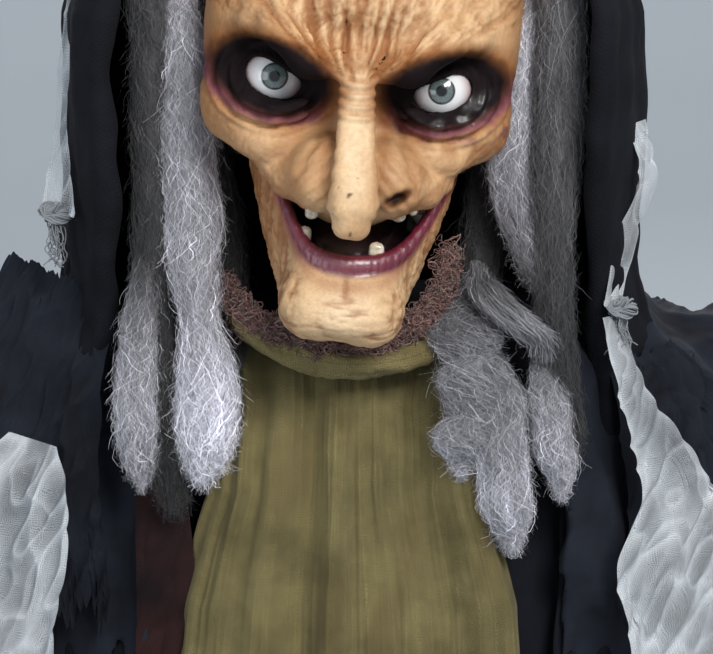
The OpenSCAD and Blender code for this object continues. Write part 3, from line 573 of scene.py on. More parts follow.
def build_jaw(material):
    step = 1.0
    low, high = (-56, -120, -118), (58, -8, -22)
    p = grid_box(low, high, step)
    solid = jaw_field(p)
    shell = np.maximum(solid, -(solid + 4.0))
    across = from_middle(p[0])
    rim = np.interp(across, RIM_X, RIM_Z).astype(np.float32)
    front = p[1] + 50 - 0.25 * across.astype(np.float32)
    mouth = np.maximum(rim - p[2], front)
    shell = smooth_max(shell, -mouth, 2)
    shell = np.maximum(shell, p[1] + 20)
    shell = np.maximum(shell, p[2] + 33 - 0.12 * (p[1] + 20))
    path = rim_path(22)
    lip_r = 3.9 - 1.5 * np.abs(np.linspace(-1, 1, 22)) ** 2
    lip = chain(p, [(*spot, r) for spot, r in zip(path + [0, 0.8, -3.2], lip_r)], 1.0)
    shell = smooth_min(shell, lip, 3)
    points, quads, normals = skin_of(shell, low, step)
    x, y, z = points.T
    outside = step_up(-3.4, -1.2, jaw_field([x, y, z]))
    rim = np.interp(from_middle(x), RIM_X, RIM_Z)
    below = rim - z
    strand = ridges(at(x * 0.16, y * 0.16, z * 0.028), 6)
    height = -1.3 * strand * step_up(6, 12, below) * step_up(16, 30, np.abs(x - 2))
    height += 1.1 * fbm(points * 0.075, 14, 3) * step_up(7, 12, below)
    chin_lines = ridges(at(x * 0.05, y * 0.1, z * 0.2), 19)
    height -= 0.8 * chin_lines * step_up(12, 18, below)
    height -= 0.9 * np.exp(-((x - 2) / 1.6) ** 2) * step_up(7, 10, below) * step_up(20, 12, below)
    height -= 0.25 * np.maximum(0, np.sin(x * 2 * np.pi / 3.1)) * step_up(8.5, 6, below)
    spray = Spray([0.68, 0.455, 0.25], len(points))
    spray([0.44, 0.215, 0.09], 0.85 * step_up(16, 40, np.abs(x - 2) + 0.12 * (z + 80) - 9 * (x > 2)))
    # Painted light on the jaw: a highlight on the chin, a shadow band under the lower lip, and shade in the
    # wrinkles.
    spray([0.84, 0.66, 0.44], 0.8 * np.exp(-((x - 2) / 15) ** 2 - ((z + 97) / 10) ** 2))
    spray([0.36, 0.15, 0.06], 0.6 * np.exp(-((below - 12) / 3.5) ** 2) * np.exp(-((x - 2) / 26) ** 2))
    spray([0.30, 0.11, 0.04], 0.7 * step_up(0.3, 1.1, -height))
    spray([0.33, 0.07, 0.075], 0.8 * step_up(16, 7, below + 1.2 * noise(points * 0.3, 4))
          * step_up(10, 26, np.abs(x - 2.5)))
    spray([0.14, 0.014, 0.032], step_up(9.6, 6.4, below))
    # Painted highlight along the lower lip.
    spray([0.25, 0.045, 0.075], 0.3 * np.exp(-((below - 3.6) / 1.5) ** 2))
    spray([0.004, 0.003, 0.004], step_up(0.9, 0.3, outside) * (below > 2.0))
    gloss = step_up(8.8, 6.4, below)
    points = points + normals * (height * outside)[:, None]
    return make_mesh("JawSkin", head_to_row(points), quads, material,
                     attributes={"Paint": spray.colour, "Gloss": gloss})


# ---------- materials ----------

class Paintbox:
    """Short ways to add and join shader nodes in one material."""

    def __init__(self, name):
        self.material = bpy.data.materials.new(name)
        self.material.use_nodes = True
        self.tree = self.material.node_tree
        self.tree.nodes.clear()
        self.out = self.tree.nodes.new("ShaderNodeOutputMaterial")
        self.bsdf = self.tree.nodes.new("ShaderNodeBsdfPrincipled")
        self.join(self.bsdf.outputs[0], self.out.inputs["Surface"])

    def join(self, a, b):
        self.tree.links.new(a, b)

    def set(self, **values):
        for key, value in values.items():
            socket = self.bsdf.inputs[key.replace("_", " ")]
            if isinstance(value, bpy.types.NodeSocket):
                self.join(value, socket)
            elif isinstance(value, (tuple, list)) and len(value) == 3:
                socket.default_value = (*value, 1)
            else:
                socket.default_value = value
        return self

    def add(self, kind, **inputs):
        node = self.tree.nodes.new(kind)
        for key, value in inputs.items():
            socket = node.inputs[int(key[1:])] if key[0] == "_" and key[1:].isdigit() else node.inputs[key]
            if isinstance(value, bpy.types.NodeSocket):
                self.join(value, socket)
            elif isinstance(value, (tuple, list)) and len(value) == 3 and socket.type == "RGBA":
                socket.default_value = (*value, 1)
            else:
                socket.default_value = value
        return node

    def coords(self, kind="Object", scale=(1, 1, 1)):
        source = self.add("ShaderNodeTexCoord").outputs[kind]
        mapping = self.add("ShaderNodeMapping", Vector=source)
        mapping.inputs["Scale"].default_value = scale
        return mapping.outputs[0]

    def noise(self, scale, vector=None, detail=4, rough=0.6):
        inputs = {"Scale": scale, "Detail": detail, "Roughness": rough}
        if vector is not None:
            inputs["Vector"] = vector
        return self.add("ShaderNodeTexNoise", **inputs).outputs[0]

    def math(self, op, a, b=0.0, c=0.0, clamp=False):
        node = self.add("ShaderNodeMath", _0=a, _1=b, _2=c)
        node.operation = op
        node.use_clamp = clamp
        return node.outputs[0]

    def ramp(self, value, stops):
        node = self.add("ShaderNodeValToRGB", Fac=value)
        elements = node.color_ramp.elements
        while len(elements) < len(stops):
            elements.new(0.5)
        for element, (place, colour) in zip(elements, stops):
            element.position = place
            element.color = (*colour, 1) if len(colour) == 3 else colour
        return node.outputs[0]

    def mix(self, fac, a, b, how="MIX"):
        node = self.add("ShaderNodeMix")
        node.data_type = "RGBA"
        node.blend_type = how
        for place, value in ((0, fac), (6, a), (7, b)):
            if isinstance(value, bpy.types.NodeSocket):
                self.join(value, node.inputs[place])
            elif place:
                node.inputs[place].default_value = (*value, 1)
            else:
                node.inputs[place].default_value = value
        return node.outputs[2]

    def scaled(self, colour, amount):
        node = self.tree.nodes.new("ShaderNodeVectorMath")
        node.operation = "SCALE"
        self.join(colour, node.inputs[0])
        self.join(amount, node.inputs["Scale"])
        return node.outputs[0]

    def attribute(self, name, output="Color"):
        node = self.add("ShaderNodeAttribute")
        node.attribute_name = name
        return node.outputs[output]

    def bump(self, height, strength, distance_mm):
        node = self.add("ShaderNodeBump", Height=height, Strength=strength, Distance=distance_mm * MM)
        self.join(node.outputs[0], self.bsdf.inputs["Normal"])
        return node


def vinyl_material():
    """Soft vinyl with sprayed colour, pores and glossy patches."""
    b = Paintbox("PaintedVinyl")
    paint = b.attribute("Paint")
    gloss = b.attribute("Gloss", "Fac")
    fine = b.noise(900, detail=6)
    patchy = b.noise(70, detail=4, rough=0.55)
    grain = b.ramp(patchy, [(0.3, (0.78, 0.68, 0.6)), (0.6, (1, 1, 1))])
    toned = b.mix(0.5, paint, grain, "MULTIPLY")
    rough = b.math("MULTIPLY_ADD", gloss, -0.34, 0.46)
    rough = b.math("MULTIPLY_ADD", patchy, 0.12, rough)
    height = b.math("MULTIPLY_ADD", fine, 0.35, patchy)
    b.set(Base_Color=toned, Roughness=rough, Subsurface_Weight=0.05, Subsurface_Scale=0.003,
          Specular_IOR_Level=b.math("MULTIPLY_ADD", gloss, 0.35, 0.28))
    b.bsdf.inputs["Subsurface Radius"].default_value = (1.0, 0.45, 0.2)
    b.set(Coat_Weight=b.math("MULTIPLY_ADD", gloss, 0.7, 0.05), Coat_Roughness=0.16)
    b.bump(height, 0.35, 0.9)
    return b.material


def eye_material():
    """Painted eye under a clear dome, drawn by the angle away from the local -Y axis."""
    b = Paintbox("PaintedEye")
    source = b.add("ShaderNodeTexCoord").outputs["Object"]
    flat = b.add("ShaderNodeSeparateXYZ", Vector=source)
    radius = b.math("SQRT", b.math("ADD", b.math("POWER", flat.outputs[0], 2.0),
                                   b.math("POWER", flat.outputs[2], 2.0)))
    radius = b.math("DIVIDE", radius, MM)
    angle = b.math("ARCTAN2", flat.outputs[2], flat.outputs[0])
    spoke = b.add("ShaderNodeCombineXYZ",
                  X=b.math("MULTIPLY", angle, 9.0), Y=b.math("MULTIPLY", radius, 0.22))
    fibres = b.noise(3.2, spoke.outputs[0], detail=5, rough=0.7)
    iris = b.ramp(fibres, [(0.3, (0.03, 0.045, 0.047)), (0.5, (0.12, 0.16, 0.155)),
                           (0.72, (0.34, 0.40, 0.38))])
    inner = b.ramp(b.math("DIVIDE", radius, 7.0), [(0.30, (0.03, 0.05, 0.05)), (0.42, (1, 1, 1)),
                                                   (0.66, (0.9, 0.9, 0.9)), (0.82, (0.02, 0.025, 0.03))])
    iris = b.mix(1.0, iris, inner, "MULTIPLY")
    veins = b.noise(420, detail=3)
    white = b.ramp(veins, [(0.35, (0.72, 0.71, 0.70)), (0.6, (0.86, 0.87, 0.88))])
    blood = b.ramp(b.math("DIVIDE", radius, 14.0), [(0.6, (1, 1, 1)), (0.95, (0.62, 0.42, 0.42))])
    white = b.mix(1.0, white, blood, "MULTIPLY")
    in_iris = b.ramp(b.math("DIVIDE", radius, 7.0), [(0.82, (1, 1, 1)), (0.9, (0, 0, 0))])
    in_pupil = b.ramp(b.math("DIVIDE", radius, 7.5), [(0.2, (1, 1, 1)), (0.25, (0, 0, 0))])
    colour = b.mix(in_iris, white, iris)
    colour = b.mix(in_pupil, colour, (0.004, 0.004, 0.005))
    b.set(Base_Color=colour, Roughness=0.18, Coat_Weight=1.0, Coat_Roughness=0.03)
    return b.material


def build_eyes(material):
    """One painted dome for each socket."""
    rows, cols = 40, 48
    out = []
    for s, name in ((-1, "RightEye"), (1, "LeftEye")):
        tilt = np.linspace(0.001, math.pi * 0.62, rows)[:, None]
        turn = circle(cols)
        bulge = EYE_R + 0.7 * np.exp(-(tilt / 0.42) ** 2)
        wide = bulge * np.sin(tilt)
        ball = at(wide * np.cos(turn), -bulge * np.cos(tilt), wide * np.sin(turn))
        eye = make_mesh(name, ball.reshape(-1, 3), grid_faces(rows, cols, True), material)
        eye.location = head_to_row(np.array([s * EYE_GAP, EYE_Y, 0.0])) * MM
        eye.rotation_euler = [math.radians(-4), math.radians(5), math.radians(-s * 2.0)]
        out.append(eye)
    return out


def weave_material(name, colour, shade, pitch, open_share=0.0, stain=None, waver=0.35, sheen=0.15):
    """Plain-woven cloth. pitch is the thread spacing in millimetres.

    open_share is how much shows through where the piece's own Dense value is 0.
    """
    b = Paintbox(name)
    threads = b.add("ShaderNodeUVMap")
    threads.uv_map = "Weave"
    place = threads.outputs[0]
    warp = b.add("ShaderNodeTexNoise", Vector=place, Scale=0.11, Detail=3.0).outputs["Color"]
    warp = b.add("ShaderNodeVectorMath", _0=warp, _1=(0.5, 0.5, 0.5))
    warp.operation = "SUBTRACT"
    push = b.add("ShaderNodeVectorMath", _0=warp.outputs[0], _1=(waver * 14, waver * 14, 0))
    push.operation = "MULTIPLY"
    moved = b.add("ShaderNodeVectorMath", _0=place, _1=push.outputs[0])
    moved.operation = "ADD"
    axes = b.add("ShaderNodeSeparateXYZ", Vector=moved.outputs[0])
    u = b.math("SINE", b.math("MULTIPLY", axes.outputs[0], math.pi / pitch))
    v = b.math("SINE", b.math("MULTIPLY", axes.outputs[1], math.pi / pitch))
    over = b.math("MULTIPLY", u, v)
    thread_u = b.math("ABSOLUTE", u)
    thread_v = b.math("ABSOLUTE", v)
    top = b.math("MAXIMUM", thread_u, thread_v)
    body_noise = b.noise(26, b.coords(), detail=5, rough=0.6)
    fuzz = b.noise(700, b.coords(), detail=2)
    tone = b.ramp(body_noise, [(0.32, shade), (0.62, colour)])
    gaps = b.ramp(top, [(0.35, (0.32, 0.32, 0.32)), (0.9, (1, 1, 1))])
    tone = b.mix(0.75, tone, gaps, "MULTIPLY")
    if stain:
        blot = b.noise(9, b.coords(scale=(1, 1, 0.35)), detail=4, rough=0.7)
        tone = b.mix(b.ramp(blot, [(0.52, (0, 0, 0)), (0.68, (1, 1, 1))]), tone, stain)
    b.set(Base_Color=tone, Roughness=0.9, Sheen_Weight=sheen, Sheen_Roughness=0.5, Specular_IOR_Level=0.2)
    height = b.math("ADD", b.math("MULTIPLY", over, 0.5), b.math("MULTIPLY_ADD", fuzz, 0.5, top))
    b.bump(height, 0.6, 0.25 * pitch)
    if open_share:
        dense = b.attribute("Dense", "Fac")
        torn = b.noise(60, b.coords(), detail=4, rough=0.7)
        cover = b.math("MULTIPLY_ADD", dense, 0.8, b.math("SUBTRACT", 1.0, open_share))
        cover = b.math("MULTIPLY_ADD", torn, 0.5, b.math("SUBTRACT", cover, 0.25))
        b.set(Alpha=b.math("MULTIPLY", cover, b.math("MULTIPLY_ADD", top, 0.6, 0.5)))
    return b.material


def hair_material(name, colour):
    """Fibres whose brightness comes from the strand."""
    b = Paintbox(name)
    tone = b.attribute("Tone", "Fac")
    tint = b.mix(b.noise(40, b.coords(), detail=2), colour, tuple(c * 0.82 + 0.02 for c in colour))
    fluff = b.noise(900, b.coords(scale=(1, 1, 0.35)), detail=4, rough=0.7)
    b.set(Base_Color=b.scaled(tint, b.math("MULTIPLY_ADD", fluff, tone, b.math("MULTIPLY", tone, 0.5))))
    b.set(Roughness=0.55, Sheen_Weight=0.3, Specular_IOR_Level=0.4)
    b.bump(fluff, 0.7, 0.8)
    return b.material


def yarn_material():
    b = Paintbox("BrownYarn")
    tone = b.attribute("Tone", "Fac")
    fuzz = b.noise(900, b.coords(), detail=4)
    tint = b.ramp(fuzz, [(0.3, (0.09, 0.036, 0.034)), (0.7, (0.25, 0.13, 0.105))])
    b.set(Base_Color=b.scaled(tint, tone), Roughness=0.95, Sheen_Weight=0.6, Sheen_Roughness=0.4)
    b.bump(fuzz, 0.8, 0.6)
    return b.material


def tooth_material():
    b = Paintbox("StainedTooth")
    stain = b.noise(300, b.coords(), detail=5)
    tint = b.ramp(stain, [(0.3, (0.30, 0.21, 0.10)), (0.55, (0.62, 0.55, 0.42)), (0.75, (0.80, 0.76, 0.66))])
    b.set(Base_Color=tint, Roughness=0.3, Coat_Weight=0.7, Coat_Roughness=0.1)
    b.bump(stain, 0.3, 0.3)
    return b.material


def mouth_material():
    b = Paintbox("MouthBlack")
    lumps = b.noise(160, b.coords(), detail=4)
    tint = b.ramp(lumps, [(0.3, (0.004, 0.003, 0.004)), (0.8, (0.02, 0.008, 0.012))])
    b.set(Base_Color=tint, Roughness=0.22, Coat_Weight=0.8, Coat_Roughness=0.08)
    b.bump(lumps, 0.5, 0.8)
    return b.material


def nail_material():
    b = Paintbox("ClawNail")
    streak = b.noise(120, b.coords(scale=(1, 1, 0.2)), detail=4)
    tint = b.ramp(streak, [(0.3, (0.03, 0.02, 0.015)), (0.75, (0.16, 0.11, 0.06))])
    b.set(Base_Color=tint, Roughness=0.28, Coat_Weight=0.5)
    b.bump(streak, 0.4, 0.3)
    return b.material


def metal_material(name, colour, rough=0.34):
    """Drawn steel: fine lines, handling marks and a little tarnish."""
    b = Paintbox(name)
    lines = b.noise(180, b.coords(scale=(1, 1, 0.02)), detail=6, rough=0.7)
    marks = b.noise(14, b.coords(), detail=6, rough=0.75)
    tint = b.ramp(marks, [(0.3, tuple(c * 0.72 for c in colour)), (0.62, colour)])
    b.set(Base_Color=tint, Metallic=1.0)
    b.set(Roughness=b.math("MULTIPLY_ADD", marks, 0.32, rough - 0.12))
    b.bump(b.math("MULTIPLY_ADD", lines, 0.6, marks), 0.12, 0.2)
    return b.material


def plastic_material(name, colour, rough=0.5, grain=1400):
    """Moulded plastic with spark texture and light scuffs."""
    b = Paintbox(name)
    pits = b.noise(grain, b.coords(), detail=2)
    scuff = b.noise(30, b.coords(), detail=7, rough=0.75)
    light = tuple(min(1.0, c * 1.35 + 0.01) for c in colour)
    tint = b.ramp(scuff, [(0.42, colour), (0.75, light)])
    b.set(Base_Color=tint)
    b.set(Roughness=b.math("MULTIPLY_ADD", scuff, 0.25, rough - 0.12))
    b.bump(pits, 0.22, 0.25)
    return b.material


def board_material():
    b = Paintbox("BoardGreen")
    grid = b.add("ShaderNodeTexBrick", Vector=b.coords(scale=(240, 1, 240)))
    grid.inputs["Color1"].default_value = (0.02, 0.14, 0.06, 1)
    grid.inputs["Color2"].default_value = (0.015, 0.10, 0.045, 1)
    grid.inputs["Mortar"].default_value = (0.03, 0.22, 0.10, 1)
    grid.inputs["Mortar Size"].default_value = 0.04
    b.set(Base_Color=grid.outputs[0], Roughness=0.3, Coat_Weight=0.5)
    return b.material


BATTERY_BAND_Z = 0.475  # where the coloured end of each battery starts, in metres


def battery_material():
    b = Paintbox("BatterySleeve")
    height = b.add("ShaderNodeSeparateXYZ", Vector=b.coords())
    band = b.math("GREATER_THAN", height.outputs[2], BATTERY_BAND_Z)
    marks = b.noise(60, b.coords(), detail=4)
    sleeve = b.ramp(marks, [(0.3, (0.02, 0.02, 0.022)), (0.7, (0.035, 0.035, 0.04))])
    b.set(Base_Color=b.mix(band, sleeve, (0.55, 0.33, 0.12)), Roughness=0.28,
          Metallic=b.math("MULTIPLY", band, 0.9))
    b.bump(marks, 0.1, 0.2)
    return b.material


# ---------- cloth ----------

# Sections of the robe and the hood: height, centre y, half width and half depth.
ROBE = [(45, 0, 320, 290), (250, 0, 280, 250), (520, 0, 238, 205), (800, -5, 198, 165), (1000, -8, 172, 138),
        (1150, -10, 168, 128), (1300, -12, 170, 122), (1400, -14, 172, 112), (1440, -15, 158, 98),
        (1462, -16, 120, 84), (1472, -18, 84, 70)]
HOOD = [(1200, -14, 178, 136), (1300, -16, 178, 132), (1385, -20, 172, 122), (1425, -30, 158, 118),
        (1455, -48, 138, 118), (1480, -62, 131, 119), (1540, -72, 132, 120), (1600, -72, 130, 126),
        (1660, -65, 111, 112), (1690, -58, 88, 90), (1712, -51, 62, 66), (1728, -46, 36, 40),
        (1739, -42, 3, 3)]
HOOD_EDGE = 112  # half width of the opening
HOOD_ARCH_Z = 1590  # where the opening starts to close
HOOD_MIDDLE_Y = -60
HOOD_ROLL = 5  # radius of the rolled hem


def section(table, z):
    """Centre y, half width and half depth of a table of sections at a height."""
    t = np.array(table, float)
    return [np.interp(z, t[:, 0], t[:, k]) for k in (1, 2, 3)]


def around(table, angle, z, grow):
    """Points round a table of sections, grown outward; angle is in degrees from +X, seen from above."""
    cy, hx, hy = section(table, z)
    a = np.radians(angle)
    return at((hx + grow) * np.cos(a), cy + (hy + grow) * np.sin(a), z)


def drape(points, height):
    """A grid of points moved along its own normals."""
    du = np.gradient(points, axis=1)
    dv = np.gradient(points, axis=0)
    return points + unit(np.cross(du, dv)) * height[..., None]


def cloth_mesh(name, points, material, thick=1.2, wrap=False, dense=None):
    """A cloth piece from a grid of points, with thread coordinates in millimetres and a little thickness."""
    rows, cols = points.shape[:2]
    across = np.linalg.norm(np.diff(points, axis=1), axis=2)
    along = np.linalg.norm(np.diff(points, axis=0), axis=2)
    u = np.concatenate([np.zeros((rows, 1)), np.cumsum(across, 1)], 1)
    u = u - u[:, cols // 2:cols // 2 + 1]
    v = np.concatenate([np.zeros((1, cols)), np.cumsum(along, 0)], 0)
    uv = at(u.mean(0)[None, :] * 0.6 + u * 0.4, v.mean(1)[:, None] * 0.6 + v * 0.4).reshape(-1, 2)
    extra = {} if dense is None else {"Dense": np.broadcast_to(dense, (rows, cols)).reshape(-1)}
    piece = make_mesh(name, points.reshape(-1, 3), grid_faces(rows, cols, wrap), material,
                      uv=uv, attributes=extra)
    if thick:
        thicken(piece, thick, 0)
    return piece


def long_folds(angle, z, pitch, seed, sway=0.002):
    """Soft pleats that run down the cloth, about -1 to 1."""
    bend = 1.6 * noise(at(angle / 40, z * sway * 1.7, 0), seed + 3)
    coarse = noise(at(angle / pitch + bend, z * sway, 2.5), seed)
    fine = noise(at(angle / pitch * 2.3 + bend * 2, z * sway * 2, 7.5), seed + 1)
    return np.clip(1.9 * coarse, -1, 1) * 0.75 + 0.5 * fine


def ragged(columns, seed, deep, step=1.0):
    """How far a torn edge reaches at each column: tatters of mixed width."""
    k = np.arange(columns) * step
    rough = np.abs(noise(at(k * 0.09, 0, 0), seed)) * 1.6
    teeth = np.abs(noise(at(k * 0.41, 4, 0), seed + 1)) * 0.9
    return deep * (rough + teeth)


def wander(t, rate, shift, seed):
    """How far a hanging edge drifts sideways on its way down, about -0.7 to 0.7."""
    return noise(at(t * rate, shift, 0), seed)


def swing_out(angle, z):
    """Broad waves of the skirt, growing towards the hem."""
    return 13 * np.maximum(0, (1150 - z) / 1100) * np.cos(np.radians(9 * angle))


def build_robe(material):
    rows, cols = 150, 420
    angle = np.linspace(0, 360, cols, endpoint=False)[None, :]
    t = down(rows)
    bottom = 50 + ragged(cols, 5, 26)[None, :]
    z = 1472 + (bottom - 1472) * t
    folds = long_folds(np.where(angle < 180, angle, angle - 360), z, 13, 2)
    beside_seam = step_up(0, 12, np.abs(angle - 180))
    deep = (1.5 + 15 * step_up(1250, 400, z)) * (0.2 + 0.6 * beside_seam)
    points = around(ROBE, angle, z, -4 + 0.55 * swing_out(angle, z) + deep * folds)
    return cloth_mesh("Robe", points, material, 1.5, True)


def build_cape(material):
    """Short cape over the shoulders, open at the front, with a torn hem."""
    rows, cols = 90, 330
    t = down(rows)
    bottom = 1165 - ragged(cols, 15, 30)[None, :]
    z = 1474 + (bottom - 1474) * t
    first = -57 + 3.5 * wander(t, 5, 0, 8) - 2 * t
    last = 237 + 3.5 * wander(t, 5, 5, 9) + 2 * t
    angle = first + (last - first) * np.linspace(0, 1, cols)[None, :]
    low = step_up(1440, 1200, z)
    grow = 5 + (2.2 + 7 * low) * long_folds(angle, z, 11, 21, 0.004) + 2 * low
    points = around(ROBE, angle, z, np.maximum(grow, 0.5))
    wrinkle = fbm(points * 0.02, 33, 3)
    return cloth_mesh("Cape", drape(points, 1.5 * wrinkle), material, 1.3)


def hood_half_gap(z):
    """Half width of the hood's opening at a height."""
    rise = np.clip(z - HOOD_ARCH_Z, 0, None)
    arch = np.sqrt(np.maximum(0.0, 1 - (rise / 112) ** 2)) * HOOD_EDGE
    low = step_up(1500, 1380, z) * 8
    return arch + low


def build_hood(material):
    rows, cols = 190, 260
    t = np.linspace(0, 1, rows) ** 0.9
    z = 1738.5 - t * (1738.5 - 1210)
    z = z[:, None] - ragged(cols, 46, 30)[None, :] * (t[:, None] ** 5)
    half_width = section(HOOD, z)[1]
    gap = hood_half_gap(z)
    lean = np.degrees(np.arccos(np.clip(gap / np.maximum(half_width, 1), 0, 1)))
    first, last = -lean, 180 + lean
    angle = first + (last - first) * np.linspace(0, 1, cols)[None, :]
    hang = step_up(1520, 1380, z)
    grow = (4.2 + 5 * hang) * long_folds(angle, z, 14, 44, 0.006)
    sag = 3.0 * noise(at(angle / 60, z / 26, 0), 51) * step_up(1560, 1500, z)
    points = around(HOOD, angle, z, grow + sag + 1.5)
    points = drape(points, 2.2 * fbm(points * 0.02, 60, 3) + 2.2 * ridges(points * [0.02, 0.02, 0.012], 61))
    arc = (np.linspace(0, 1, 10)[1:] * math.radians(215))[None, :, None]
    sides = []
    for edge, following in ((points[:, 0], points[:, 3]), (points[:, -1], points[:, -4])):
        ahead = unit(edge - following)
        inward = [0, HOOD_MIDDLE_Y, 0] - edge * [1, 1, 0]
        inward = unit(inward - ahead * (inward * ahead).sum(1, keepdims=True))
        size = HOOD_ROLL + 2.5 * noise(at(z[:, 0] / 30, 0, len(sides)), 70)
        curl = np.sin(arc) * ahead[:, None] + (1 - np.cos(arc)) * inward[:, None]
        sides.append(edge[:, None] + size[:, None, None] * curl)
    points = np.concatenate([sides[0][:, ::-1], points, sides[1]], 1)
    points[..., 0] -= 8 * step_up(-50, -110, points[..., 0])
    return cloth_mesh("Hood", points, material, 1.4)


def tunic_half(z):
    return np.interp(z, [1000, 1327, 1382, 1420, 1462], [36, 26, 20.5, 20, 25])


def build_tunic(material):
    """Olive gauze panel down the front, gathered under the collar."""
    rows, cols = 300, 420
    t = down(rows)
    side = np.linspace(-1, 1, cols)[None, :]
    bottom = 520 - ragged(cols, 75, 30)[None, :]
    z = 1458 + (bottom - 1458) * t
    half = tunic_half(z) * (1 + 0.05 * noise(at(z * 0.02, np.sign(side), 0), 80))
    angle = 268.5 + half * side
    free = step_up(1456, 1370, z)
    bend = 0.35 * noise(at(side * 2, z * 0.007, 0.3), 83)
    pleat = 0
    for rate, seed, weight in ((2.7, 84, 1.25), (5.6, 85, 0.6), (13.0, 86, 0.16)):
        crest = np.abs(noise(at(side * rate + bend, z * 0.0006 * rate, 0.7), seed))
        pleat = pleat + weight * (1 - 2.6 * crest)
    broad = noise(at(side * 2.3 + 1.7, z * 0.0025, 3.2), 87)
    grow = 6 + pleat * (3.4 + 5.0 * free) + 6 * broad * free
    grow = np.maximum(grow, 0.6) + 12 * step_up(1250, 600, z)
    points = around(ROBE, angle, z, grow + 0.55 * swing_out(angle, z))
    cross = noise(at(side * 1.6, z * 0.11 + 1.5 * noise(points * 0.012, 91), 0.4), 90)
    small = noise(points * [0.1, 0.1, 0.045], 92)
    return cloth_mesh("Tunic", drape(points, 0.5 * cross + 1.0 * small), material, 0.8)


def tube_mesh(name, paths, radius, sides, material, attributes=None):
    """Many tubes as one piece. paths is (count, steps, 3); radius is a number or (count, steps)."""
    paths = np.asarray(paths, float)
    count, steps = paths.shape[:2]
    along = unit(np.gradient(paths, axis=1))
    guide = np.where(np.abs(along[..., 2:3]) > 0.9, [[[1.0, 0, 0]]], [[[0, 0, 1.0]]])
    one = unit(np.cross(guide, along))
    two = np.cross(along, one)
    radius = np.broadcast_to(np.asarray(radius, float), (count, steps))[..., None, None]
    turn = circle(sides)[..., None]
    ring = np.cos(turn) * one[:, :, None] + np.sin(turn) * two[:, :, None]
    points = (paths[:, :, None] + radius * ring).reshape(-1, 3)
    single = grid_faces(steps, sides, True)
    faces = (single[None] + (np.arange(count) * steps * sides)[:, None, None]).reshape(-1, 4)
    spread = {k: np.repeat(v, sides, 1).reshape(-1) for k, v in (attributes or {}).items()}
    return make_mesh(name, points, faces, material, attributes=spread)


def smooth_path(knots, steps):
    """A smooth curve through knots of any number of values."""
    k = np.asarray(knots, float)
    gap = np.concatenate([[0], np.cumsum(np.linalg.norm(np.diff(k[:, :3], axis=0), axis=1))])
    gap = gap / gap[-1]
    fine = np.linspace(0, 1, steps)
    slope = np.gradient(k, gap, axis=0)
    i = np.clip(np.searchsorted(gap, fine, side="right") - 1, 0, len(k) - 2)
    h = (gap[i + 1] - gap[i])[:, None]
    s = ((fine - gap[i])[:, None]) / h
    return ((2 * s ** 3 - 3 * s ** 2 + 1) * k[i] + (s ** 3 - 2 * s ** 2 + s) * h * slope[i]
            + (-2 * s ** 3 + 3 * s ** 2) * k[i + 1] + (s ** 3 - s ** 2) * h * slope[i + 1])


# ---------- hair ----------

def ribbon_mesh(name, paths, radius, material, attributes, spin):
    """Many flat fibres as one piece. paths is (count, steps, 3); spin turns each fibre's flat side."""
    count, steps = paths.shape[:2]
    along = unit(np.gradient(paths, axis=1))
    half = unit(np.cross(along, at(np.cos(spin), np.sin(spin), 0.2)[:, None])) * radius[..., None]
    points = np.stack([paths - half, paths + half], 2).reshape(-1, 3)
    faces = grid_faces(steps, 2)[None] + (np.arange(count) * steps * 2)[:, None, None]
    spread = {k: np.repeat(v, 2, 1).reshape(-1) for k, v in attributes.items()}
    return make_mesh(name, points, faces.reshape(-1, 4), material, attributes=spread)


def waves(length, rng, count, pitch):
    """A sum of sines with its own pitch and phase for each fibre, about -1 to 1."""
    total = 0
    for k in range(2):
        rate = rng.uniform(0.6, 1.5, (count, 1)) * 2 * np.pi / pitch * (1 + 0.7 * k)
        total = total + np.sin(length * rate + rng.uniform(0, 2 * np.pi, (count, 1))) / (1 + k)
    return total / 1.5


FIBRE_RADIUS = 0.075  # of one hair, at its middle


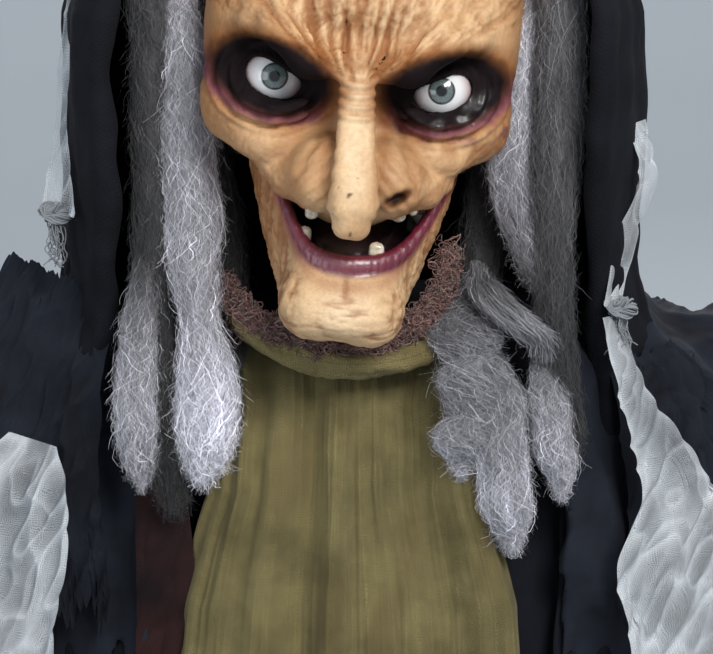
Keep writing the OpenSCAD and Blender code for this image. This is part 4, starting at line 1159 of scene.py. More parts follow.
def build_lock(name, knots, count, tones, seed, material, frizz, curl):
    """Teased wool on a lock through knots of x, y, z, half width and half depth, from the top down."""
    rng = np.random.default_rng(seed)
    steps = 9  # points along each fibre
    dense = smooth_path(knots, 200)
    size = np.linalg.norm(np.diff(dense[:, :3], axis=0), axis=1).sum()
    long_one = rng.uniform(0, 1, (count, 1)) < 0.1
    reach_along = rng.uniform(8, 24, (count, 1)) * np.where(long_one, 2.6, 1) / size
    middle = rng.uniform(0.0, 1.0, (count, 1))
    along = np.linspace(-0.5, 0.5, steps)[None, :]
    t = middle + reach_along * along
    top_end = np.random.default_rng(seed + 1).exponential(0.03, (count, 1))
    inside = np.clip(t, top_end, 1 - rng.exponential(0.035, (count, 1)))
    mid = np.stack([np.interp(inside, np.linspace(0, 1, 200), dense[:, k]) for k in range(5)], -1)
    run = np.clip(0.6 * (t - inside) * size, -4, 7)
    to_end = np.clip(np.minimum(1 - inside, inside) * size / 15, 0, 1)
    rounding = np.sqrt(np.maximum(1 - (1 - to_end) ** 2, 0.02))[..., None]
    mid[..., 3:] *= rounding
    length = t * size
    turn = rng.uniform(0, 2 * np.pi, (count, 1))
    tilt = rng.normal(0, 0.55 * frizz, (count, 1))
    drift = turn + tilt * reach_along * size * along / np.maximum(mid[..., 3], 5)
    reach = 0.35 + 0.68 * rng.uniform(0, 1, (count, 1)) ** 0.35
    reach = reach + rng.normal(0, 0.16, (count, 1)) * along * 2
    clump = np.floor(turn * 1.6) * 7.3 + seed
    bulk = noise(at(length / 24, clump, 0.5), seed)
    sway = noise(at(length / 24, clump, 9.5), seed)
    x = mid[..., 0] + mid[..., 3] * reach * np.cos(drift) + 2.6 * bulk
    y = mid[..., 1] + mid[..., 4] * reach * np.sin(drift) + 1.6 * sway
    z = mid[..., 2] - run + frizz * waves(length, rng, count, 14)
    x = x + frizz * (1.1 * waves(length, rng, count, 13) + 0.7 * waves(length, rng, count, 5))
    y = y + frizz * (0.9 * waves(length, rng, count, 13) + 0.5 * waves(length, rng, count, 5))
    if curl:
        spiral = length / 26 * 2 * np.pi + np.floor(turn * 1.2)
        x = x + curl * 0.4 * mid[..., 3] * np.cos(spiral)
        y = y + curl * 0.4 * mid[..., 4] * np.sin(spiral)
    stray = np.where(rng.uniform(0, 1, (count, 1)) > 0.86, rng.uniform(0.5, 5.5, (count, 1)), 0)
    away = stray * (0.5 + along) ** 1.5
    x = x + away * np.cos(turn)
    y = y - np.abs(away * np.sin(turn))
    tone = 1.75 * np.interp(inside, np.linspace(0, 1, len(tones)), tones) * rng.lognormal(0, 0.5, (count, 1))
    tone = tone * (1 + 0.6 * noise(at(length / 40, clump, 3.5), seed + 9))
    taper = 0.3 + 0.7 * np.sin(np.pi * np.linspace(0.04, 0.96, steps))
    slim = FIBRE_RADIUS * taper * rng.uniform(0.6, 1.5, (count, 1))
    return ribbon_mesh(name, at(x, y, z), slim, material, {"Tone": tone}, rng.uniform(0, np.pi, count))


LOCKS = [
    ("HairRightMain", [(-66, -70, 1694, 7, 7), (-80, -98, 1650, 7, 7), (-81.5, -104, 1610, 7, 7),
                       (-80, -110, 1586, 10, 8), (-78.5, -114, 1559, 12.5, 9), (-78, -119, 1532, 13, 9),
                       (-75, -124, 1505, 13, 9), (-74.5, -130, 1478, 10.5, 8), (-72, -134, 1462, 8, 8),
                       (-69, -140, 1440, 13, 10), (-69, -143, 1413, 14, 9), (-71, -141, 1388, 8, 6)],
     15000, [0.12, 0.15, 0.22, 0.27, 0.30, 0.32, 0.32, 0.30, 0.34, 0.46, 0.5, 0.45], 1.0, 0),
    ("HairRightSecond", [(-92, -112, 1510, 5, 5), (-97, -126, 1478, 6, 6), (-100, -135, 1452, 8.5, 7),
                         (-100.5, -139, 1428, 9.5, 8), (-100, -140, 1405, 9, 7), (-99, -138, 1388, 5, 4)],
     6500, [0.03, 0.06, 0.25, 0.34, 0.3], 1.1, 0),
    ("HairRightDark", [(-80, -80, 1690, 8, 8), (-94, -104, 1640, 9, 8), (-95, -112, 1580, 9, 8),
                       (-94, -118, 1520, 9, 8), (-93, -126, 1460, 9, 8), (-88, -136, 1420, 10, 8),
                       (-84, -138, 1372, 9, 5)],
     7500, [0.035, 0.04, 0.04, 0.035, 0.015, 0.012, 0.008], 0.9, 0),
    ("HairRightInner", [(-66, -66, 1680, 7, 7), (-74, -84, 1620, 7, 8), (-72, -92, 1550, 8, 9),
                        (-62, -100, 1495, 9, 8), (-58, -112, 1462, 8, 7), (-60, -128, 1432, 6, 5)],
     5000, [0.03, 0.025, 0.02, 0.025], 0.9, 0),
    ("HairLeftFace", [(58, -64, 1690, 7, 7), (76, -90, 1640, 7, 7), (79, -98, 1610, 7, 7),
                      (73, -106, 1586, 8.5, 8), (70, -110, 1559, 9, 9), (69, -114, 1532, 9.5, 9),
                      (72, -118, 1511, 8.5, 8), (79, -124, 1490, 7, 6), (85, -130, 1474, 5, 4)],
     10000, [0.10, 0.18, 0.34, 0.42, 0.42, 0.34, 0.2, 0.08], 1.0, 0),
    ("HairLeftBrown", [(72, -74, 1694, 7, 7), (88, -104, 1650, 9, 8), (92, -113, 1600, 11, 8),
                       (91, -119, 1540, 11, 8), (89, -127, 1490, 9, 8), (92, -134, 1440, 8, 6),
                       (98, -138, 1400, 8, 5)],
     9000, [0.05, 0.08, 0.10, 0.08, 0.045, 0.025, 0.012], 0.9, 0),
    ("HairLeftInner", [(64, -62, 1680, 7, 7), (70, -82, 1610, 7, 8), (64, -92, 1540, 9, 9),
                       (58, -102, 1490, 11, 8), (54, -116, 1458, 10, 7), (60, -132, 1415, 9, 5)],
     7000, [0.025, 0.022, 0.02, 0.018, 0.02, 0.02], 1.0, 0),
    ("HairLeftCurls", [(50, -122, 1476, 7, 6), (49, -138, 1456, 12, 9), (51, -144, 1442, 13, 10),
                       (52, -145, 1427, 10, 9), (48, -145, 1411, 10, 9), (47, -142, 1395, 5, 4)],
     8500, [0.05, 0.14, 0.2, 0.24, 0.34], 1.7, 0.9),
    ("HairLeftEnd", [(60, -132, 1448, 7, 6), (64, -142, 1426, 10, 7), (66, -145, 1402, 10, 8),
                     (68, -145, 1380, 11, 8), (71, -141, 1359, 6, 5)],
     8500, [0.10, 0.26, 0.36, 0.34], 1.1, 0.2),
    ("HairLeftBand", [(54, -124, 1484, 5, 5), (60, -137, 1474, 8, 7), (69, -143, 1465, 9, 7),
                      (78, -142, 1457, 8, 6), (87, -138, 1448, 4, 4)],
     5500, [0.09, 0.15, 0.16, 0.10], 0.3, 0),
    ("HairLeftSmall", [(84, -130, 1446, 5, 5), (87, -140, 1424, 8, 7), (89.5, -142, 1402, 8.5, 7),
                       (94, -140, 1384, 5, 4)],
     5000, [0.12, 0.24, 0.3, 0.3], 1.2, 0.2),
]


def build_hair(material):
    out = []
    for k, (name, knots, count, tones, frizz, curl) in enumerate(LOCKS):
        out.append(build_lock(name, knots, count, tones, 300 + 20 * k, material, frizz, curl))
    return out


def build_hair_cores(material):
    """Matted hair inside the locks, so that no lock is see-through."""
    out = []
    rows, cols = 130, 56
    for k, (name, knots, _count, tones, _frizz, _curl) in enumerate(LOCKS):
        path = smooth_path(knots, rows)[:, None]
        turn = circle(cols)
        end = (np.sin(np.pi * np.linspace(0.02, 0.98, rows)) ** 0.5)[:, None]
        x = path[..., 0] + 0.84 * path[..., 3] * end * np.cos(turn)
        y = path[..., 1] + 0.84 * path[..., 4] * end * np.sin(turn)
        points = at(x, y, path[..., 2])
        lumps = 2.0 * noise(points * [0.22, 0.22, 0.05], 7 + k)
        lumps = lumps + 0.8 * noise(points * [0.7, 0.7, 0.08], 8 + k)
        points = points + at(lumps * np.cos(turn), lumps * np.sin(turn), 0)
        tone = np.interp(np.linspace(0, 1, rows), np.linspace(0, 1, len(tones)), tones)[:, None]
        tone = tone * (1 + 0.9 * noise(points * [0.5, 0.5, 0.04], 12 + k))
        out.append(make_mesh(name + "Core", points.reshape(-1, 3), grid_faces(rows, cols, True), material,
                             attributes={"Tone": tone.reshape(-1)}))
    return out


# ---------- neck ----------

NECKLINE = np.array([(-62, -116, 1474), (-52, -128, 1464), (-35, -137, 1457), (-12, -141, 1453),
                     (12, -141, 1454), (28, -138, 1461), (38, -130, 1474), (43, -121, 1490)])


def build_yarn(material):
    """Fluffy wool yarn along the neckline."""
    rng = np.random.default_rng(11)
    line = smooth_path(NECKLINE, 500)
    count, steps = 2400, 18
    pick = rng.integers(0, 500, count)
    clump = np.floor(pick / 16)
    middle = line[pick] + rng.normal(0, 1, (count, 3)) * [2.2, 2.4, 3.0]
    middle = middle + 2.6 * at(*(noise(at(clump * 1.7, k, 0.5), 12) for k in range(3)))
    s = np.linspace(0, 1, steps)
    size = rng.uniform(1.2, 4.2, (count, 1))
    paths = [size * waves(s * 12, rng, count, rng.uniform(5, 13)) for _ in range(3)]
    paths = middle[:, None] + at(*paths)
    tone = rng.uniform(0.5, 1.7, (count, 1)) * (0.8 + 0.4 * s)
    radius = rng.uniform(0.14, 0.34, (count, 1)) * (0.5 + 0.5 * np.sin(np.pi * s))
    return tube_mesh("NeckYarn", paths, radius, 4, material, {"Tone": tone})


def build_yarn_core(material):
    """Matted wool under the loose yarn."""
    rows, cols = 160, 40
    line = smooth_path(NECKLINE + [0, 2, -2], rows)[:, None]
    turn = circle(cols)
    outward = at(0, -np.cos(turn), np.sin(turn))
    ends = (np.sin(np.pi * np.linspace(0.02, 0.98, rows)) ** 0.4)[:, None]
    points = line + (5.0 * ends)[..., None] * outward
    lumps = 2.4 * noise(points * 0.22, 15) + 1.2 * noise(points * 0.6, 16)
    points = points + lumps[..., None] * outward
    return make_mesh("NeckYarnCore", points.reshape(-1, 3), grid_faces(rows, cols, True), material,
                     attributes={"Tone": np.full(rows * cols, 0.5)})


def build_collar(material):
    """Rolled and gathered gauze round the neckline."""
    line = smooth_path([(-64, -112, 1470), (-56, -126, 1459), (-38, -135, 1449), (-12, -141, 1443),
                        (12, -141, 1443), (34, -136, 1449), (48, -126, 1461), (56, -113, 1474)], 160)
    turn, s = circle(72), down(160)
    out = np.array([0, -1.0, 0.25])
    up = np.array([0, 0.25, 1.0])
    twist = turn + 5 * s
    radius = 6.2 + 0.72 * np.sin(3 * twist)
    radius = radius + 1.5 * noise(at(s * 26, np.cos(twist) * 1.6, np.sin(twist) * 1.6), 5)
    radius = radius + 0.8 * noise(at(s * 60, np.cos(twist) * 1.5, np.sin(twist) * 3), 6)
    radius = radius * (0.35 + 0.65 * np.sin(np.pi * np.clip(s * 0.96 + 0.02, 0, 1)) ** 0.4)
    ring = np.cos(turn)[..., None] * out + np.sin(turn)[..., None] * up
    points = line[:, None, :] + radius[..., None] * ring
    return cloth_mesh("Collar", points, material, 0, True)


# ---------- gauze ----------

def build_panel(name, left, right, rows, cols, seed, material, wave, tatter, top_tatter=0.0):
    """A wrinkled strip of open gauze between two edges; tatter is how deep its lower end is torn."""
    a, b = smooth_path(left, rows), smooth_path(right, rows)
    side = np.linspace(0, 1, cols)[None, :, None]
    points = a[:, None] * (1 - side) + b[:, None] * side
    t = down(rows)
    points[..., 2] -= ragged(cols, seed, tatter, 60 / cols)[None, :] * t ** 3
    points[..., 2] -= top_tatter * ragged(cols, seed + 9, 1, 60 / cols)[None, :] * (1 - t) ** 8
    points[..., 2] += 4 * noise(at(t * 3, side[..., 0] * 3, 0), seed + 2) * t
    edge = 1 - (2 * side[..., 0] - 1) ** 6
    slant = points @ np.array([[0.8, 0, 0.25], [0, 1, 0], [-0.35, 0, 0.9]])
    creases = ridges(slant * [0.05, 0.03, 0.014], seed + 4, 2)
    small = ridges(slant * [0.11, 0.08, 0.035], seed + 7, 1)
    h = 0.9 * noise(points * [0.045, 0.045, 0.02], seed + 5) + 0.6 * (creases - 0.4)
    h = wave * (h * (0.3 + 0.7 * edge) + 0.3 * (small - 0.3)) * step_up(0, 0.12, t)
    dense = np.clip(0.75 * creases ** 1.5 + 0.4 * small ** 2 + 0.5 * (1 - edge), 0, 1)
    return cloth_mesh(name, drape(points, h), material, 0, dense=dense)


def build_back_gauze(material):
    """Gauze that hangs down the back, draped over the cape."""
    rows, cols = 170, 210
    t = down(rows)
    bottom = 1010 - ragged(cols, 201, 45)[None, :]
    z = 1452 + (bottom - 1452) * t
    first = 28 + 9 * wander(t, 4, 0, 202)
    last = 152 + 9 * wander(t, 4, 9, 203)
    angle = first + (last - first) * np.linspace(0, 1, cols)[None, :]
    low = step_up(1440, 1150, z)
    grow = 21 + (5 + 6 * low) * long_folds(angle, z, 15, 204, 0.005)
    points = around(ROBE, angle, z, grow)
    points = drape(points, 5 * (ridges(points * 0.02, 206) - 0.4))
    return cloth_mesh("GauzeBack", points, material, 0)


def build_frays(name, anchors, length, seed, material, count):
    """Loose threads hanging from torn edges; anchors is (n, 3)."""
    rng = np.random.default_rng(seed)
    steps = 26
    root = anchors[rng.integers(0, len(anchors), count)] + rng.normal(0, 1.2, (count, 3))
    s = np.linspace(0, 1, steps)[None, :]
    reach = rng.uniform(0.3, 1.0, count)[:, None] * length
    phase = rng.uniform(0, 99, count)[:, None]
    drop = at(reach * 0.7 * noise(at(s * 2.2 + phase, phase, phase), seed) * s,
              -reach * 0.15 * np.abs(noise(at(s * 2 + phase, phase, 5), seed + 1)) * s, -reach * s)
    wiggle = at(*(noise(at(s * 9 + phase, k, phase), seed + 2 + k) for k in range(3)))
    paths = root[:, None] + drop + 1.8 * wiggle * s[..., None]
    return tube_mesh(name, paths, 0.28, 4, material)


def build_knot(name, centre, size, seed, material):
    """A torn strip tied in a knot, as a bunch of looping threads."""
    rng = np.random.default_rng(seed)
    count, steps = 46, 40
    s = np.linspace(0, 1, steps)[None, :]
    p = rng.uniform(0, 2 * np.pi, count)[:, None]
    lean = rng.normal(0, 0.25, (count, 1))
    knot = at(np.sin(4 * np.pi * s + p) + np.sin(2 * np.pi * s + p), np.cos(4 * np.pi * s + p + lean),
              0.8 * np.cos(2 * np.pi * s + p) - 0.48 * np.sin(6 * np.pi * s + p))
    paths = np.asarray(centre) + size * knot * rng.uniform(0.5, 1.0, (count, 1, 1))
    return tube_mesh(name, paths, 0.45, 4, material)


# ---------- sleeves and shoulders ----------

ARM_X = 222.0
SHOULDER_Z = 1385.0
UPPER_ARM = 280.0
FOREARM = 225.0
ARMS = [("Right", "right", -1, 30.0, 110.0), ("Left", "left", 1, 15.0, 95.0)]


def arm_points(side, upper, lower):
    """Shoulder, elbow and wrist."""
    u, f = math.radians(upper), math.radians(lower)
    shoulder = np.array([side * ARM_X, 0, SHOULDER_Z])
    elbow = shoulder + UPPER_ARM * np.array([0, -math.sin(u), -math.cos(u)])
    wrist = elbow + FOREARM * np.array([0, -math.sin(f), -math.cos(f)])
    return shoulder, elbow, wrist


def build_shoulder(name, side, upper, lower, material):
    """Cloth over one shoulder, from the neck to below the top of the arm."""
    shoulder, elbow, _wrist = arm_points(side, upper, lower)
    step = 2.7
    low = (80, -150, 1240) if side > 0 else (-290, -150, 1240)
    high = (290, 140, 1500) if side > 0 else (-80, 140, 1500)
    p = grid_box(low, high, step)
    cy, hx, hy = (v.astype(np.float32) for v in section(ROBE, np.minimum(p[2], 1470)))
    lift = (26 if side < 0 else -40) * step_up(100, 160, np.abs(p[0])).astype(np.float32)
    z = p[2] - lift
    body = (np.sqrt((p[0] / hx) ** 2 + ((p[1] - cy) / hy) ** 2) - 1) * hy * 0.9
    body = smooth_max(body, z - 1472, 12)
    arm = cone(p, shoulder + [0, 0, -4], shoulder + (elbow - shoulder) * 0.5, 41, 40)
    q = np.stack(np.broadcast_arrays(*p), -1)
    folds = 10 * noise(q * [0.034, 0.02, 0.014], 120 + side)
    folds = folds + 8 * ridges(q * [0.022, 0.016, 0.009], 123 + side)
    field = smooth_min(body, arm, 56) - 10 - folds.astype(np.float32)
    torn = 26 * noise(q * [0.03, 0.03, 0.006], 126) + 22 * noise(q * [0.12, 0.12, 0.01], 127)
    inner = 96 + 8 * noise(q * 0.03, 128)
    cut = np.maximum(1296 + torn - p[2], inner - p[0] * side)
    points, quads = surface_net(np.maximum(field, cut).astype(np.float32), low, step)
    cell = tuple(np.round((points - low) / step).astype(int).T)
    on_cloth = np.abs(field[cell]) < 2.6 * step
    on_cloth &= cut[cell] < 0.4 * step
    quads = quads[on_cloth[quads].all(axis=1)]
    used, quads = np.unique(quads, return_inverse=True)
    points, quads = points[used], quads.reshape(-1, 4)
    points = relaxed(points, quads, 2)
    crease = 1.6 * fbm(points * 0.05, 131, 3)
    points = points + vertex_normals(points, quads) * crease[:, None]
    piece = make_mesh(name, points, quads, material)
    thicken(piece, 1.6)
    return piece


def build_sleeve(name, side, upper, lower, material):
    """Wide sleeve from the shoulder round the elbow to a torn bell cuff."""
    shoulder, elbow, wrist = arm_points(side, upper, lower)
    u = (elbow - shoulder) / UPPER_ARM
    f = (wrist - elbow) / FOREARM
    knots = [shoulder - u * 22, shoulder + u * 60, shoulder + u * 140, elbow - u * 60,
             elbow - u * 18 + f * 14, elbow + f * 62, elbow + f * 130, elbow + f * 196]
    widths = [26, 40, 41, 42, 41, 44, 52, 62]
    rows, cols = 190, 130
    path = smooth_path([(*k, w) for k, w in zip(knots, widths)], rows)
    along = unit(np.gradient(path[:, :3], axis=0))
    across = np.tile(np.array([1.0, 0, 0]), (rows, 1))
    over = unit(np.cross(along, across))
    turn = circle(cols)
    s = down(rows)
    hang = step_up(0.55, 1.0, s) * 16 * np.maximum(0, -np.sin(turn) * np.sign(over[:, 2:3] + 1e-6))
    spots = at(np.cos(turn) * 1.5, np.sin(turn) * 1.5, s * 3.0)
    length_folds = 4.5 * noise(spots * [1.6, 1.6, 0.7], 140 + side)
    near_elbow = np.exp(-((s - 0.56) / 0.12) ** 2)
    rings = near_elbow * 3.4 * np.sin(s * 95 + 2.5 * np.cos(turn) + 2 * noise(spots, 143))
    rings = rings * (0.4 + 0.6 * step_up(-0.3, 0.9, -np.sin(turn)))
    small = 1.8 * noise(spots * [2.2, 2.2, 3.5], 145 + side)
    radius = path[:, 3:4] + length_folds * (0.5 + s) + rings + small + hang
    points = path[:, None, :3] + radius[..., None] * (np.cos(turn)[..., None] * across[:, None]
                                                      + np.sin(turn)[..., None] * over[:, None])
    torn = ragged(cols, 150 + side, 17)
    torn = torn * np.sin(np.pi * np.linspace(0, 1, cols)) ** 0.3
    points = points + along[:, None] * (torn[None, :] * step_up(0.75, 1.0, s))[..., None]
    closed = np.concatenate([points, points[:, :1]], 1)
    return cloth_mesh(name, closed, material, 1.3)


# ---------- hands ----------

def hand_frame(side, upper, lower):
    """Wrist point and the three axes of a hand: across, over the back, along the fingers."""
    _shoulder, _elbow, wrist = arm_points(side, upper, lower)
    f = math.radians(lower)
    along = np.array([0, -math.sin(f), -math.cos(f)])
    back = np.array([0, math.cos(f), -math.sin(f)])
    return wrist - np.array([side * 6.0, 0, 0]), np.array([1.0, 0, 0]), back, -along


def finger_knots():
    """Joints of the four fingers in the hand's own frame, whose -Z runs towards the fingertips."""
    out = []
    for k in (-1.5, -0.5, 0.5, 1.5):
        out.append([(k * 13, 0, -60), (k * 15, 2, -76), (k * 21, 14, -112 + 6 * abs(k)),
                    (k * 23.5, 9, -135 + 7 * abs(k)), (k * 24, 1, -150 + 8 * abs(k))])
    return out


def hand_field(p, side):
    d = ellipsoid(p, (0, 1, -40), (25, 11, 34))
    d = smooth_min(d, cone(p, (0, 0, 12), (0, 1, -20), 15, 15), 10)
    d = smooth_min(d, cone(p, (0, 0, 40), (0, 0, 5), 16, 15), 6)
    for joints in finger_knots():
        sizes = (7.5, 8.4, 7.6, 5.6, 4.0)
        d = smooth_min(d, chain(p, [(*j, r) for j, r in zip(joints, sizes)], 2), 5)
        for j, r in ((joints[1], 8.8), (joints[2], 8.2), (joints[3], 6.3)):
            d = smooth_min(d, ellipsoid(p, (j[0], j[1] + 1.2, j[2]), (r, r, r * 0.8)), 3)
        tendon = cone(p, (joints[1][0], 8, -72), (joints[1][0] * 0.5, 9, -25), 2.4, 1.6)
        d = smooth_min(d, tendon, 5)
    thumb = [(-side * 12, -2, -22, 10), (-side * 30, -5, -44, 9), (-side * 41, -7, -62, 7.5),
             (-side * 48, -6, -78, 5)]
    return smooth_min(d, chain(p, thumb, 3), 7)


def build_hand(name, side, upper, lower, material, claw):
    """Gnarled vinyl hand with long claw nails."""
    wrist, across, back, up = hand_frame(side, upper, lower)
    axes = np.stack([across, back, up])
    step = 1.3
    low, high = (-60, -24, -164), (60, 34, 34)
    p = grid_box(low, high, step)
    solid = hand_field(p, side)
    bore = np.maximum(np.sqrt(p[0] ** 2 + p[1] ** 2) - 11.5, -p[2] - 4)
    field = np.maximum(np.maximum(solid, -bore), p[2] - 30)
    points, quads, normals = skin_of(field, low, step)
    x, y, z = points.T
    lines = ridges(at(x * 0.05, y * 0.05, z * 0.24), 160)
    veins = ridges(at(x * 0.055, y * 0.03, z * 0.022), 163)
    height = 0.9 * veins * step_up(2, 8, y) * step_up(-80, -66, z) - 0.7 * lines
    height = height + 0.5 * fbm(points * 0.1, 165, 3)
    points = points + normals * height[:, None]
    spray = Spray([0.66, 0.44, 0.24], len(points))
    # Painted shade in the creases.
    spray([0.40, 0.20, 0.09], 0.7 * step_up(0.1, 0.9, -height))
    spray([0.30, 0.12, 0.06], 0.5 * step_up(-100, -150, z))
    # Painted highlights on the raised veins and lumps.
    spray([0.82, 0.62, 0.40], 0.5 * step_up(0.2, 0.7, height))
    hand = make_mesh(name, points @ axes + wrist, quads, material,
                     attributes={"Paint": spray.colour, "Gloss": np.zeros(len(points))})
    tips = [j[3:] for j in finger_knots()] + [[(-side * 45, -6, -72), (-side * 48, -6, -78)]]
    rows, cols = 26, 20
    shells, faces = [], []
    for n, (a, b) in enumerate(tips):
        a, b = np.array(a, float), np.array(b, float)
        run = (b - a) / np.linalg.norm(b - a)
        sideways = np.array([1.0, 0, 0])
        top = np.cross(sideways, run)
        top = top if top[1] > 0 else -top
        s = down(rows)
        turn = np.linspace(-0.15 * np.pi, 1.15 * np.pi, cols)[None, :]
        wide = 3.5 * (1 - s ** 2.2) + 0.15
        tall = 2.6 * (1 - s ** 1.8) + 0.15
        reach = 17 + 2 * math.sin(2.3 * n)
        past = np.linalg.norm(b - a) - 7 + reach * s[..., None]
        middle = a + run * past + top * (0.9 - 7 * s[..., None] ** 2)
        nail = middle + sideways * (wide * np.cos(turn))[..., None] + top * (tall * np.sin(turn))[..., None]
        faces.append(grid_faces(rows, cols) + n * rows * cols)
        shells.append(nail.reshape(-1, 3))
    nails = make_mesh(name + "Nails", np.concatenate(shells) @ axes + wrist, np.concatenate(faces), claw)
    thicken(nails, 0.7)
    return hand, nails


# ---------- mouth ----------

UPPER_TEETH = [(-15.5, -84, -52, 6, 5, 7.5), (23, -81, -48, 6.5, 5, 10), (29, -81, -45, 4.5, 4, 9.5)]
LOWER_TEETH = [(-18, -80, -72, 6.5, 5.5, 9), (14.5, -83, -78, 7, 5.5, 11)]


def build_teeth(name, spots, material, upward):
    """Worn peg teeth at (x, y, z, width, depth, length) in the head's frame."""
    rows, cols = 16, 24
    shells, faces = [], []
    for n, (x, y, z, wide, deep, tall) in enumerate(spots):
        s = down(rows)
        turn = circle(cols)
        shape = np.where(s < 0.75, 1.0, np.sqrt(np.maximum(0.0, 1 - ((s - 0.75) / 0.25) ** 2)))
        shape = shape * (0.86 + 0.14 * np.sin(np.pi * s))
        c, d = np.cos(turn), np.sin(turn)
        square = (np.abs(c) ** 3 + np.abs(d) ** 3) ** (-1 / 3)
        px = x + 0.5 * wide * shape * c * square + 0.4 * (s - 0.3) * math.sin(5 * n)
        py = y + 0.5 * deep * shape * d * square
        points = at(px, py, z + (tall * s if upward else -tall * s))
        points = points + 0.18 * noise(points * 0.8, 170 + n)[..., None]
        faces.append(grid_faces(rows, cols, True) + n * rows * cols)
        shells.append(points.reshape(-1, 3))
    return make_mesh(name, head_to_row(np.concatenate(shells)), np.concatenate(faces), material)


def build_lining(material):
    """Dark sculpted inside of the mouth with a ridged palate."""
    rows, cols = 60, 80
    s = down(rows)
    a = np.linspace(math.pi, 2 * math.pi, cols)[None, :]
    wide = 36 - 14 * s
    deep = 48 - 30 * s
    x = 2 + wide * np.cos(a)
    y = -34 + deep * np.sin(a) * (0.55 + 0.45 * (1 - s))
    z = -50 + 9 * np.sin(np.pi * s) + 1.2 * np.sin(s * 30) * np.abs(np.sin(a))
    points = at(x, y, z)
    return make_mesh("MouthPalate", head_to_row(points.reshape(-1, 3)), grid_faces(rows, cols), material)


def build_throat(material):
    """Black backing behind the teeth that moves with the jaw."""
    rows, cols = 50, 80
    s = down(rows)
    a = np.linspace(math.pi * 0.98, 2.02 * math.pi, cols)[None, :]
    z = -98 + 66 * s
    half, back, front = jaw_section(z)
    lump = 1.2 * noise(at(np.cos(a) * 3, np.sin(a) * 3, s * 5), 180)
    shrink = 0.84 - 0.25 * step_up(-74, -44, z)
    x = 1.5 + (half * shrink + lump) * np.cos(a)
    y = back + (back - front - 12 - 22 * step_up(-80, -50, z) + lump) * np.sin(a)
    points = at(x, y, z)
    return make_mesh("MouthBacking", head_to_row(points.reshape(-1, 3)), grid_faces(rows, cols), material)


def build_tongue(material):
    step = 1.2
    low, high = (-26, -92, -92), (30, -28, -60)
    p = grid_box(low, high, step)
    d = ellipsoid(p, (2, -62, -80), (19, 25, 8))
    d = smooth_max(d, -cone(p, (2, -86, -70), (2, -40, -69), 2.2, 2.6), 3)
    points, quads, normals = skin_of(d, low, step, 1)
    points = points + normals * (0.35 * noise(points * 0.5, 190))[:, None]
    return make_mesh("MouthFloor", head_to_row(points), quads, material)


# ---------- stage ----------

def build_stage():
    """Floor that curves up into a backdrop, clear from behind, with three soft lamps and a pale sky."""
    rows = 60
    depth = np.linspace(0, 1, rows)
    z = (np.maximum(0, depth - 0.55) / 0.45) ** 1.6 * 5000
    y = -5000 + np.minimum(depth, 0.75) / 0.75 * 8500
    points = at([[-14000, 14000]], y[:, None], z[:, None]).reshape(-1, 3)
    b = Paintbox("PaleBackdrop")
    behind = b.add("ShaderNodeNewGeometry").outputs["Backfacing"]
    b.set(Base_Color=(0.62, 0.66, 0.70), Roughness=0.9, Alpha=b.math("SUBTRACT", 1.0, behind))
    floor = make_mesh("Backdrop", points, grid_faces(rows, 2), b.material)

    def lamp(name, place, aim, size_m, power, colour=(1, 1, 1)):
        data = bpy.data.lights.new(name, "AREA")
        data.shape = "RECTANGLE"
        data.size, data.size_y = size_m
        data.energy = power
        data.color = colour
        obj = bpy.data.objects.new(name, data)
        bpy.context.scene.collection.objects.link(obj)
        obj.location = place
        obj.rotation_euler = (Vector(aim) - Vector(place)).to_track_quat("-Z", "Y").to_euler()

    lamp("KeyLight", (1.1, -2.2, 3.2), (0, 0, 1.45), (1.3, 1.0), 82, (1, 0.98, 0.95))
    lamp("FillLight", (-2.2, -2.2, 1.8), (0, 0, 1.3), (1.8, 1.8), 22, (0.93, 0.96, 1))
    lamp("RimLight", (-0.4, 2.0, 2.8), (0, 0, 1.5), (1.5, 1.0), 40)
    world = bpy.data.worlds.new("SoftRoom")
    bpy.context.scene.world = world
    world.use_nodes = True
    world.node_tree.nodes["Background"].inputs[0].default_value = (0.80, 0.86, 0.93, 1)
    world.node_tree.nodes["Background"].inputs[1].default_value = 0.42
    bpy.context.scene.view_settings.view_transform = "Standard"


VIEW_WIDTH = 313.72  # width of the picture at the plane of the eyes
VIEW_SHIFT = 0.66  # how far the picture's middle is to the figure's right of the eyes' middle
VIEW_DROP = 106.04  # and how far below it
EYES_FRONT = -75.0


def build_camera():
    """The photograph's view: close to the face, looking slightly down."""
    data = bpy.data.cameras.new("PhotoCamera")
    data.sensor_width = 36
    cam = bpy.data.objects.new("PhotoCamera", data)
    bpy.context.scene.collection.objects.link(cam)
    bpy.context.scene.camera = cam
    elevation = math.radians(9)
    distance = 1190.0  # from the plane of the eyes
    data.lens = data.sensor_width * distance / VIEW_WIDTH
    right = np.array([1.0, 0, 0])
    forward = np.array([0, math.cos(elevation), -math.sin(elevation)])
    up = np.cross(right, forward)
    centre = EYE_MID + [0, EYES_FRONT, 0] - right * VIEW_SHIFT - up * VIEW_DROP
    cam.location = Vector((centre - forward * distance) * MM)
    cam.rotation_euler = Vector(forward).to_track_quat("-Z", "Y").to_euler()
    data.clip_start, data.clip_end = 0.05, 60


# ---------- the figure ----------

STAND_TO_HEAD = ((0, 0, 1.430), (0, 0, 1.530))  # heights in metres passed to turning(), which does not use them
HAIR_TO_HEAD = ((0, 0, 1.395), (0, 0, 1.480))


def stands_for(piece, slot_name, *nodes):
    """Hides the CAD nodes that a piece replaces."""
    if nodes:
        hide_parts(*nodes)


def fixed(piece, body, slot_name, *nodes):
    """Puts a piece on one body."""
    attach(piece, body)
    stands_for(piece, slot_name, *nodes)
    return piece


def turning(piece, ends, slot_name, *nodes):
    """Bakes a piece's placement into its mesh and hides the CAD nodes it replaces."""
    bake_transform(piece)
    stands_for(piece, slot_name, *nodes)


